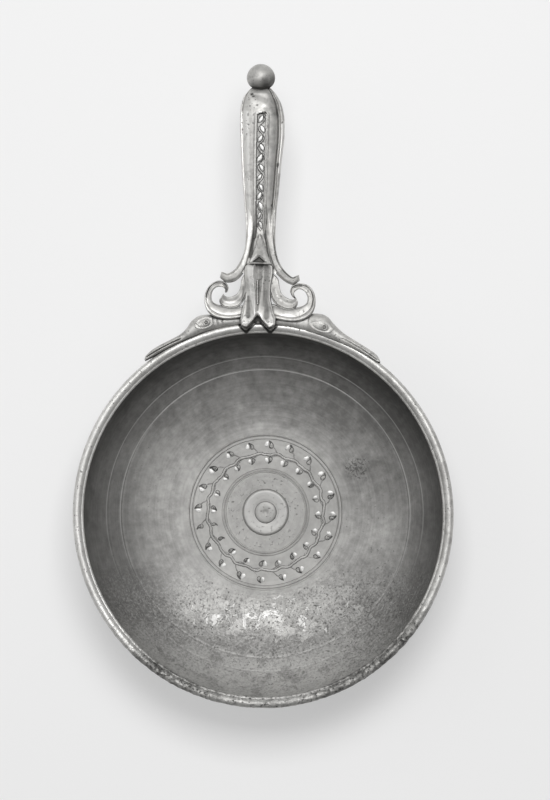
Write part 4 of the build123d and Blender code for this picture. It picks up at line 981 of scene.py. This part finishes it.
outerSilver = leafPiece("outerSilver", scrollLook["silver"], 0.26, scrollLook["outerBase"], 0.0, silverInlay, 3, (10, 1))
outerDark = leafPiece("outerDark", scrollLook["dark"], 0.12, scrollLook["outerBase"], 0.0, darkInlay, 3)
outerCore = leafPiece("outerCore", scrollLook["core"], 0.19, scrollLook["outerBase"], 0.0, greyInlay, 3)
innerSilver = leafPiece("innerSilver", mirrored(scrollLook["silver"]), 0.26, scrollLook["innerBase"], pi, silverInlay, 11, (10, 2), 0.86)
innerDark = leafPiece("innerDark", mirrored(scrollLook["dark"]), 0.12, scrollLook["innerBase"], pi, darkInlay, 11, size=0.86)
innerCore = leafPiece("innerCore", mirrored(scrollLook["core"]), 0.19, scrollLook["innerBase"], pi, greyInlay, 11, size=0.86)
scrollSizes = {"Count": 20, "Radius": 0.0314, "Wave": 0.00045, "Outer Reach": 0.0033, "Inner Reach": 0.0018, "Seed": 5}
ivyBed = grow("ivyBed", holderOf([(0, 0, 0)], []), ivyScroll, {**scrollSizes, "Width": 0.0018, "Level": 0.00668, "Stalk Width": 0.42}, darkInlay)
ivyCore = grow("ivyCore", holderOf([(0, 0, 0)], []), ivyScroll, {**scrollSizes, "Width": 0.00118, "Level": 0.00692, "Stalk Width": 0.16}, stemInlay)
print("ivy scroll grown")


def vineGroup():
    # leaves to left and right of a winding vine, along +Y
    group, tree, given = newGroup("grownVine", {
        "Leaves": ("Int", 12), "Pitch": ("Float", 0.0046), "Sway": ("Float", 0.0005), "Tilt": ("Float", 0.4), "Swing": ("Float", 0.0014),
        "Vine Width": ("Float", 0.0004), "Seed": ("Int", 2), "Leaves Shown": ("Bool", True), "Material": ("Material", None),
    })
    index = tree.node("GeometryNodeInputIndex")
    side = (index * pi).math("COSINE")
    wobble = tree.node("FunctionNodeRandomValue", {"data_type": "FLOAT"}, {2: -0.0004, 3: 0.0004, "Seed": given["Seed"]}, out=1)
    spot = tree.node("ShaderNodeCombineXYZ", {}, {"X": side * given["Sway"], "Y": (index + 0.6) * given["Pitch"] + wobble, "Z": 0.0})
    points = tree.node("GeometryNodePoints", {}, {"Count": given["Leaves"], "Position": spot})
    sized = tree.node("FunctionNodeRandomValue", {"data_type": "FLOAT"}, {2: 0.82, 3: 1.12, "Seed": given["Seed"] + 3}, out=1)
    rotation = tree.node("FunctionNodeEulerToRotation", {}, {0: tree.node("ShaderNodeCombineXYZ", {}, {0: 0.0, 1: 0.0, 2: side * given["Tilt"]})})
    copies = tree.node("GeometryNodeInstanceOnPoints", {}, {"Points": points, "Instance": given["Geometry"], "Rotation": rotation, "Scale": tree.node("ShaderNodeCombineXYZ", {}, {0: sized, 1: sized, 2: 1.0})})
    line = tree.node("GeometryNodeCurvePrimitiveLine", {}, {"Start": (0.0, 0.0, 0.0), "End": tree.node("ShaderNodeCombineXYZ", {}, {1: given["Pitch"] * given["Leaves"]})})
    fine = tree.node("GeometryNodeResampleCurve", {}, {"Curve": line, "Count": 260})
    at = tree.node("ShaderNodeSeparateXYZ", {}, {0: tree.node("GeometryNodeInputPosition")})
    wave = ((tree.out(at, "Y") / given["Pitch"] - 0.6) * pi).math("COSINE") * given["Swing"] * -1.0
    winding = tree.node("GeometryNodeSetPosition", {}, {"Geometry": fine, "Position": tree.node("ShaderNodeCombineXYZ", {}, {"X": wave, "Y": tree.out(at, "Y"), "Z": 0.0})})
    bead = tree.node("GeometryNodeCurvePrimitiveCircle", {}, {"Resolution": 8, "Radius": given["Vine Width"] * 0.5})
    vine = tree.node("GeometryNodeCurveToMesh", {}, {"Curve": winding, "Profile Curve": bead, "Fill Caps": True})
    chosen = tree.node("GeometryNodeSwitch", {"input_type": "GEOMETRY"}, {"Switch": given["Leaves Shown"], "False": vine, "True": copies})
    closeGroup(tree, given, chosen)
    return group


grownVine = vineGroup()
vineLook = {"start": 46.6, "pitch": 5.06, "leaf": [(-0.3, -2.4), (0.6, -1.7), (1.15, -0.5), (1.1, 0.7), (0.5, 1.8), (0.0, 2.4), (-0.6, 1.6), (-1.0, 0.4), (-0.95, -0.8)]}


def inChannel(piece, level):
    # lays a flat piece on the channel's sloping floor
    look = gripLook
    for vertex in piece.data.vertices:
        x, y, z = vertex.co / mm
        station = vineLook["start"] + y
        middle = (straight(look["channelRight"], station) + straight(look["channelLeft"], station)) / 2
        left, right = (float(np.interp(station, gripCurve[side][:, 0], gripCurve[side][:, 1])) for side in ("left", "right"))
        floor = 2.3 + 4.3 * min((right - left) / 23.5, 1) - look["channelDepth"] - 1.2 * (1 - ease(look["start"], 60.0, station))
        narrow = 0.78 + 0.22 * ease(50, 80, station)
        vertex.co = [c * mm for c in onHandle(middle + x * narrow, station, floor + z + level)]
    return piece


vineSizes = {"Leaves": 12, "Pitch": vineLook["pitch"] * mm, "Sway": 0.0005, "Tilt": 0.5, "Swing": 0.00165, "Seed": 6}
gripLeaves = inChannel(grow("gripLeaves", holderOf(*cushionShape(vineLook["leaf"], 0.5, 1.05)), grownVine, {**vineSizes, "Vine Width": 0.0004, "Leaves Shown": True}, silverInlay, 50), 0.0)
gripShade = inChannel(grow("gripShade", holderOf(*cushionShape([(x * 1.32, y * 1.16) for x, y in vineLook["leaf"]], 0.3, 1.05)), grownVine, {**vineSizes, "Vine Width": 0.0004, "Leaves Shown": True}, darkInlay, 50), 0.0)
gripVine = inChannel(grow("gripVine", holderOf([(0, 0, 0)], []), grownVine, {**vineSizes, "Vine Width": 0.00042, "Leaves Shown": False}, darkInlay), 0.34)


def channelBed():
    rings = []
    for station in np.linspace(45.0, 108.0, 100):
        half = (straight(gripLook["channelRight"], station) - straight(gripLook["channelLeft"], station)) / 2
        over = station - (gripLook["channelEnd"] - half * 0.6)
        half *= max(1 - (over / (half * 0.6)) ** 3, 0.01) ** (1 / 3) if over > 0 else 1.0
        rings.append([(x, station - vineLook["start"], z) for x, z in ((-half, -0.3), (-half, 0.12), (-half * 0.5, 0.05), (0, 0.04), (half * 0.5, 0.05), (half, 0.12), (half, -0.3))])
    return loftRings(rings)


gripBed = inChannel(meshPiece("gripBed", channelBed(), bedInlay, 50), 0.0)


def beadRowGroup():
    # beads on a straight line from one point to another
    group, tree, given = newGroup("beadRow", {"Count": ("Int", 16), "Start": ("Vector", (0, 0, 0)), "End": ("Vector", (0, 0, 0)), "Size": ("Float", 0.0004), "Material": ("Material", None)})
    line = tree.node("GeometryNodeCurvePrimitiveLine", {}, {"Start": given["Start"], "End": given["End"]})
    points = tree.node("GeometryNodeCurveToPoints", {"mode": "COUNT"}, {"Curve": line, "Count": given["Count"]})
    ball = tree.node("GeometryNodeMeshIcoSphere", {}, {"Radius": given["Size"], "Subdivisions": 2})
    copies = tree.node("GeometryNodeInstanceOnPoints", {}, {"Points": points, "Instance": ball})
    closeGroup(tree, given, copies)
    return group


midrib = grow("midribBeads", holderOf([(0, 0, 0)], []), beadRowGroup(), {
    "Count": 17, "Start": tuple(c * mm for c in onHandle(-0.85, 20.5, 4.85)), "End": tuple(c * mm for c in onHandle(-0.45, 8.5, 5.1)), "Size": 0.00042,
}, castBronze, 0)
print("vine and beads grown")


# painted shade: soft dark strokes in the handle's plane where shade falls: from, to, half widths at both, strength
paintedStrokes = (
    (0.9, 28.8, 0.5, 15.0, 2.3, 1.4, 0.38), (0.5, 15.0, -0.2, 5.0, 1.4, 0.5, 0.36), (4.0, 27.0, 3.4, 8.0, 2.6, 2.4, 0.4),
    (-0.4, 32.6, -0.5, 31.3, 0.1, 1.9, 0.3), (-5.4, 12.0, -5.4, 2.0, 0.9, 1.9, 0.42), (4.0, 8.0, 4.4, 1.6, 1.8, 2.4, 0.42),
    (-0.4, 2.0, -6.0, -4.4, 0.5, 0.8, 0.46), (-6.0, -4.4, -9.0, -3.0, 0.8, 0.6, 0.46), (0.1, 1.8, 5.7, -4.3, 0.5, 0.8, 0.46), (5.7, -4.3, 8.8, -2.8, 0.8, 0.6, 0.46),
    (0.1, 42.5, 0.2, 31.0, 0.6, 4.2, 0.34), (-2.5, 62.0, -2.7, 47.0, 0.5, 0.9, 0.5), (-2.7, 47.0, -5.0, 33.0, 0.9, 0.7, 0.5), (2.0, 60.0, 2.6, 45.0, 0.35, 0.4, 0.3), (2.6, 45.0, 4.6, 33.5, 0.4, 0.3, 0.34),
    (-2.6, 107.5, -2.8, 89.0, 0.38, 0.38, 0.5), (-2.8, 89.0, -2.4, 63.0, 0.38, 0.4, 0.52), (2.1, 107.5, 2.0, 89.0, 0.3, 0.3, 0.36), (2.0, 89.0, 1.8, 62.0, 0.3, 0.35, 0.4),
    (-2.2, 108.3, 1.8, 108.4, 0.5, 0.5, 0.62), (2.9, 60.0, 4.4, 45.0, 0.9, 1.0, 0.3),
    (-6.0, 118.3, -5.4, 117.6, 0.7, 0.6, 0.8), (-5.0, 117.0, -4.7, 116.8, 0.5, 0.4, 0.7), (-3.3, 112.9, -2.9, 112.4, 0.6, 0.5, 0.5), (-7.4, 107.8, -7.3, 107.0, 0.6, 0.5, 0.4), (-4.8, 103.2, -4.3, 102.6, 0.6, 0.5, 0.4),
    (-3.5, 116.8, 2.0, 114.6, 2.6, 2.4, 0.32), (3.5, 113.0, 6.6, 108.0, 1.8, 1.8, 0.3),
    (10.6, 104.2, 10.4, 103.6, 0.5, 0.4, 0.5), (8.7, 82.0, 8.5, 80.8, 0.7, 0.6, 0.5), (5.2, 72.0, 5.0, 68.0, 0.5, 0.5, 0.32), (5.6, 60.4, 5.5, 59.8, 0.5, 0.4, 0.4),
    (-26.0, 16.5, -27.4, 12.0, 1.2, 1.2, 0.3), (22.0, 18.2, 18.5, 17.6, 1.0, 0.9, 0.38), (-18.4, 18.4, -17.0, 15.6, 0.9, 0.8, 0.38),
    (12.0, 25.6, 18.0, 21.6, 1.8, 1.6, 0.3), (6.8, 44.0, 9.4, 31.0, 1.2, 1.4, 0.24), (-8.6, 11.0, -8.0, 17.0, 0.8, 0.8, 0.3), (13.0, 9.6, 17.0, 9.0, 1.6, 1.4, 0.22),
    (1.4, 110.6, 2.4, 110.0, 1.4, 1.4, 0.3), (-3.4, 30.4, 3.6, 30.4, 0.35, 0.35, 0.5), (28.6, 5.0, 28.6, 14.0, 1.6, 1.6, 0.2),
)
# painted shadow below the leaf's two lobes
lobeShadow = (
    (-9.4, -3.4, -6.4, -6.4, 0.8, 1.0, 0.7), (-6.4, -6.4, -0.2, 0.4, 1.0, 0.6, 0.7), (-0.2, 0.4, 6.2, -6.4, 0.6, 1.0, 0.7), (6.2, -6.4, 9.2, -3.2, 1.0, 0.8, 0.7),
)
# and painted highlights: lighter strokes where the light catches the handle
paintedHighlights = (
    (-4.3, 30.8, -0.5, 34.9, 0.6, 0.7, 0.9), (-0.5, 34.9, 3.1, 30.8, 0.7, 0.6, 0.9), (-4.6, 27.4, -2.3, 7.0, 1.7, 0.9, 0.9), (-27.4, 5.0, -27.6, 12.0, 1.3, 1.2, 0.5), (-10.0, 8.4, -17.5, 8.2, 1.6, 1.6, 0.5),
    (-11.0, 108.0, -10.5, 88.0, 1.2, 1.2, 0.7), (-10.5, 88.0, -8.9, 68.0, 1.2, 1.1, 0.7), (-8.9, 68.0, -7.2, 48.0, 1.1, 0.9, 0.4), (10.8, 104.0, 9.6, 78.0, 0.8, 0.8, 0.5),
    (-0.9, 4.0, -2.9, 0.8, 0.4, 0.5, 0.7), (-2.9, 0.8, -5.0, -1.9, 0.5, 0.5, 0.7), (-5.0, -1.9, -7.8, -1.5, 0.5, 0.5, 0.6), (0.7, 3.2, 4.0, -1.5, 0.4, 0.5, 0.7), (4.0, -1.5, 7.4, -2.0, 0.5, 0.4, 0.6),
    (-8.6, 108.0, -7.9, 84.0, 1.8, 1.8, 0.6), (-7.9, 84.0, -6.3, 58.0, 1.8, 1.5, 0.6), (-6.3, 58.0, -5.2, 44.0, 1.5, 1.4, 0.55), (-5.2, 44.0, -8.4, 29.0, 1.4, 1.2, 0.5),
    (-5.0, 26.5, -3.2, 10.0, 1.8, 0.9, 0.55), (-3.2, 10.0, -1.6, 1.6, 0.9, 0.5, 0.5), (-12.0, 2.6, -19.0, 2.2, 1.4, 1.4, 0.4), (12.0, 2.6, 19.0, 1.8, 1.4, 1.4, 0.35),
    (-19.0, 2.2, -25.0, 5.0, 1.4, 1.2, 0.35), (-12.0, 9.0, -17.0, 9.2, 2.0, 1.8, 0.3), (5.6, 3.4, 5.2, 2.2, 0.8, 0.9, 0.45), (0.6, 112.4, 2.0, 112.0, 1.2, 1.2, 0.3),
)


def markedBy(paintedStrokes, places):
    flat = places[:, :2] - np.array([-2.2, 102.7])
    x, y = flat[:, 0] * cos(lean) - flat[:, 1] * sin(lean), flat[:, 0] * sin(lean) + flat[:, 1] * cos(lean)
    total = np.zeros(len(x))
    for ax, ay, bx, by, wideA, wideB, strength in paintedStrokes:
        along = np.clip(((x - ax) * (bx - ax) + (y - ay) * (by - ay)) / ((bx - ax) ** 2 + (by - ay) ** 2), 0, 1)
        away = np.hypot(x - ax - (bx - ax) * along, y - ay - (by - ay) * along)
        half = wideA + (wideB - wideA) * along
        total = np.maximum(total, strength * np.clip(1.4 - away / half, 0, 1))
    return total


# bakes per-vertex layers: painted shade from short rays that hit nearby parts, painted strokes and shadows, and ridge
# brightness that is partly wear and partly painted highlight
def bakeShadeAndWear(pieces, reach=3.2, rays=14):
    from mathutils import Vector
    from mathutils.bvhtree import BVHTree
    points, faces = [], []
    for piece in pieces:
        start = len(points)
        points += [tuple(v.co) for v in piece.data.vertices]
        faces += [tuple(start + k for k in polygon.vertices) for polygon in piece.data.polygons]
    tree = BVHTree.FromPolygons(points, faces)
    golden = pi * (3 - sqrt(5))
    directions = []
    for k in range(rays):
        up = 0.25 + 0.72 * (k + 0.5) / rays
        flat = sqrt(1 - up * up)
        directions.append((flat * cos(golden * k), flat * sin(golden * k), up))
    for piece in pieces:
        mesh = piece.data
        count = len(mesh.vertices)
        normals = np.empty(count * 3)
        places = np.empty(count * 3)
        mesh.vertex_normals.foreach_get("vector", normals)
        mesh.vertices.foreach_get("co", places)
        normals, places = normals.reshape(-1, 3), places.reshape(-1, 3)
        shadeAndMarks = np.zeros(count)
        near = (places[:, 1] > 0.07) & (places[:, 2] > 0.0485) & ((np.abs(places[:, 0]) < 0.013) if piece is bowlLip else (places[:, 2] > 0))
        for i in np.nonzero(near)[0]:
            normal = Vector(normals[i])
            side = normal.orthogonal().normalized()
            other = normal.cross(side)
            origin = Vector(places[i]) + normal * 0.00006
            closed = 0.0
            for a, b, c in directions:
                hit = tree.ray_cast(origin, side * a + other * b + normal * c, reach * mm)
                if hit[0] is not None:
                    closed += 1 - hit[3] / (reach * mm) * 0.7
            shadeAndMarks[i] = closed / rays
        # painted highlights lighten the baked shade; the dark strokes add painted shade
        if piece is handleBody:
            shadeAndMarks *= 1 - 0.8 * markedBy(paintedHighlights, places / mm)
            shadeAndMarks += markedBy(paintedStrokes, places / mm)
        # painted shadow below the lobes, on the clasp and on the rim
        if piece in (swanClasp, bowlLip):
            shadeAndMarks += markedBy(lobeShadow, places / mm)
        # painted shade: the knob darker towards one side, plus a faint mottling
        if piece is knobBall:
            off = places / mm - np.array(onHandle(knobLook["middle"], knobLook["seat"] + 6, 0))
            shadeAndMarks += 0.16 + 0.34 * np.clip((off[:, 0] * 0.5 - off[:, 1]) / 6.5, -0.4, 1)
            shadeAndMarks += 0.04 * np.sin(0.9 * off[:, 0] + 0.4 * off[:, 1] + 1.2)
        if piece is swanClasp:
            # painted shade in the gap between bill and rim
            turn, far = np.degrees(np.arctan2(places[:, 0], places[:, 1])), np.hypot(places[:, 0], places[:, 1]) / mm
            inner = np.interp(turn, claspCurve["inner"][:, 0], claspCurve["inner"][:, 1])
            shadeAndMarks += 0.42 * np.clip(1.5 - (far - inner) / 0.9, 0, 1) * np.clip((np.abs(turn) - 13) / 6, 0, 1)
            for (eyeTurn, eyeRadius), side in zip(claspLook["eyes"], (-1, 1)):
                # scratches round the eye
                along, over = (turn - eyeTurn) * 1.83 * side, far - eyeRadius
                spread = np.hypot((along - (0.9 if side < 0 else -1.9)) / 4.6, over / 2.6)
                shadeAndMarks += 0.5 * np.exp(-spread**6) * np.clip(np.sin(3.1 * along + 2.3 * over + 2 * np.sin(2.3 * over)) * np.sin(4.7 * over - 1.3 * along + 2 * np.sin(1.7 * along)), 0, 1)
        edges = np.empty(len(mesh.edges) * 2, dtype=np.int64)
        mesh.edges.foreach_get("vertices", edges)
        edges = edges.reshape(-1, 2)
        pull = np.zeros((count, 3))
        length = np.zeros(count)
        valence = np.zeros(count)
        step = places[edges[:, 1]] - places[edges[:, 0]]
        far = np.linalg.norm(step, axis=1)
        for a, b, sign in ((0, 1, 1), (1, 0, -1)):
            np.add.at(pull, edges[:, a], step * sign)
            np.add.at(length, edges[:, a], far)
            np.add.at(valence, edges[:, a], 1)
        crown = -(pull * normals).sum(axis=1) / np.maximum(length, 1e-9) * 2
        for turn in range(2):
            total, share = crown.copy(), np.ones(count)
            np.add.at(total, edges[:, 0], crown[edges[:, 1]])
            np.add.at(total, edges[:, 1], crown[edges[:, 0]])
            crown = total / (valence + 1)
        # ridge brightness is real wear from curvature plus the painted highlight strokes
        if piece is handleBody:
            crown = np.maximum(crown, 0) + markedBy(paintedHighlights, places / mm) * (1 - np.clip(shadeAndMarks * 2.2, 0, 1))
        for name, values in (("shadeAndMarks", shadeAndMarks), ("crown", crown)):
            layer = mesh.attributes.new(name, "FLOAT", "POINT")
            layer.data.foreach_set("value", values.astype(np.float32))
        print(piece.name, "shadeAndWearBaked", count, "shadeAndMarks", round(float(shadeAndMarks.mean()), 3), "crown", round(float(np.percentile(crown, 90)), 3))


bakeShadeAndWear([handleBody, swanClasp, knobBall, knobJoint, bowlLip, midrib])


def addLamp(name, energy, size, spot, target):
    from mathutils import Vector
    lamp = bpy.data.lights.new(name, "AREA")
    lamp.energy = energy
    lamp.shape = "RECTANGLE"
    lamp.size, lamp.size_y = size
    holder = bpy.data.objects.new(name, lamp)
    holder.location = spot
    holder.rotation_euler = (Vector(target) - Vector(spot)).to_track_quat("-Z", "Y").to_euler()
    bpy.context.scene.collection.objects.link(holder)
    return holder


stageLook = {"floor": (0.86, 0.86, 0.86, 1), "paper": (0.86, 0.86, 0.86, 1), "paperShare": 0.5, "skyLow": 0.08, "skyHigh": 0.34, "skyFrom": 0.2, "skyTo": 0.9}


def makeStage():
    floorMesh = bpy.data.meshes.new("paleFloor")
    floorMesh.from_pydata([(-4, -4, 0), (4, -4, 0), (4, 4, 0), (-4, 4, 0)], [], [(0, 1, 2, 3)])
    floor = bpy.data.objects.new("paleFloor", floorMesh)
    bpy.context.scene.collection.objects.link(floor)
    material, tree, place, feed = newMaterial("paleFloor", {"Base Color": stageLook["floor"], "Roughness": 0.9, "Specular IOR Level": 0.1})
    shader, output = (next(n for n in tree.nodes if n.bl_idname == kind) for kind in ("ShaderNodeBsdfPrincipled", "ShaderNodeOutputMaterial"))
    rays = tree.node("ShaderNodeLightPath")
    seen = tree.out(rays, "Is Camera Ray").math("MAXIMUM", tree.out(rays, "Is Glossy Ray")).math("MAXIMUM", tree.out(rays, "Is Transmission Ray"))
    paper = tree.node("ShaderNodeEmission", {}, {"Color": stageLook["paper"], "Strength": 1.0})
    blend = tree.node("ShaderNodeMixShader", {}, {0: seen * stageLook["paperShare"], 1: Value(tree, shader.outputs[0]), 2: paper})
    tree.links.new(blend.socket, output.inputs[0])
    floor.data.materials.append(material)
    world = bpy.data.worlds.new("studio")
    bpy.context.scene.world = world
    world.use_nodes = True
    world.node_tree.nodes.clear()
    tree = Tree(world.node_tree.nodes, world.node_tree.links)
    # a broad soft ceiling that leans towards the handle's end, darker low down
    direction = tree.node("ShaderNodeTexCoord", {}, {}, out=0)
    towards = tree.node("ShaderNodeVectorMath", {"operation": "DOT_PRODUCT"}, {0: direction, 1: (-0.12, 0.33, 0.936)}, out=1)
    ceiling = tree.band(towards, stageLook["skyFrom"], stageLook["skyTo"]) * (stageLook["skyHigh"] - stageLook["skyLow"]) + stageLook["skyLow"]
    ground = tree.node("ShaderNodeBackground", {}, {"Color": (1, 1, 1, 1), "Strength": ceiling})
    tree.node("ShaderNodeOutputWorld", {}, {0: ground}, out=None)
    addLamp("keyLamp", 20.5, (0.75, 0.6), (0.09, 0.63, 1.5), (0, 0.02, 0))
    addLamp("leftLamp", 2.8, (0.8, 1.2), (-1.3, 0.4, 1.1), (0, 0.1, 0))


makeStage()

cameraLook = {"distance": 1.7, "aim": (6.5, 60.6, 52.0), "tilt": 1.84, "frameHeight": 420.8}


def makeCamera():
    lens = bpy.data.cameras.new("camera")
    lens.sensor_fit = "VERTICAL"
    lens.sensor_height = 24.0
    lens.lens = 24.0 * cameraLook["distance"] / (cameraLook["frameHeight"] * mm)
    holder = bpy.data.objects.new("camera", lens)
    tilt = radians(cameraLook["tilt"])
    x, y, z = (c * mm for c in cameraLook["aim"])
    holder.location = (x + cameraLook["distance"] * sin(tilt), y, z + cameraLook["distance"] * cos(tilt))
    holder.rotation_euler = (0, tilt, 0)
    bpy.context.scene.collection.objects.link(holder)
    bpy.context.scene.camera = holder


makeCamera()
bpy.context.scene.view_settings.view_transform = "Standard"

for node in ("rim_solder", "handle_solder"):
    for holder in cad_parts[node].material_slots:
        holder.material = softSolder

rides = (
    (bowlShell, ("bowl",), "bowl_bronze"), (bowlLip, (), "bowl_bronze"), (handleBody, ("handle",), "cast_bronze"), (swanClasp, ("swan_clasp",), "cast_bronze"),
    (knobBall, ("knob",), "cast_bronze"), (knobJoint, (), "soft_solder"), (midrib, (), "cast_bronze"), (gripBed, (), "dark_inlay"),
    (outerSilver, ("outer_silver_leaves",), "silver"), (innerSilver, ("inner_silver_leaves",), "silver"), (gripLeaves, ("grip_silver_leaves",), "silver"),
    (outerDark, ("outer_dark_leaves",), "dark_inlay"), (innerDark, ("inner_dark_leaves",), "dark_inlay"), (outerCore, (), "dark_inlay"), (innerCore, (), "dark_inlay"),
    (ivyBed, ("ivy_stem",), "dark_inlay"), (ivyCore, (), "dark_inlay"), (gripVine, ("grip_vine",), "dark_inlay"), (gripShade, (), "dark_inlay"),
)
for piece, nodes, slot in rides:
    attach(piece, "root")
    if nodes:
        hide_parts(*nodes)
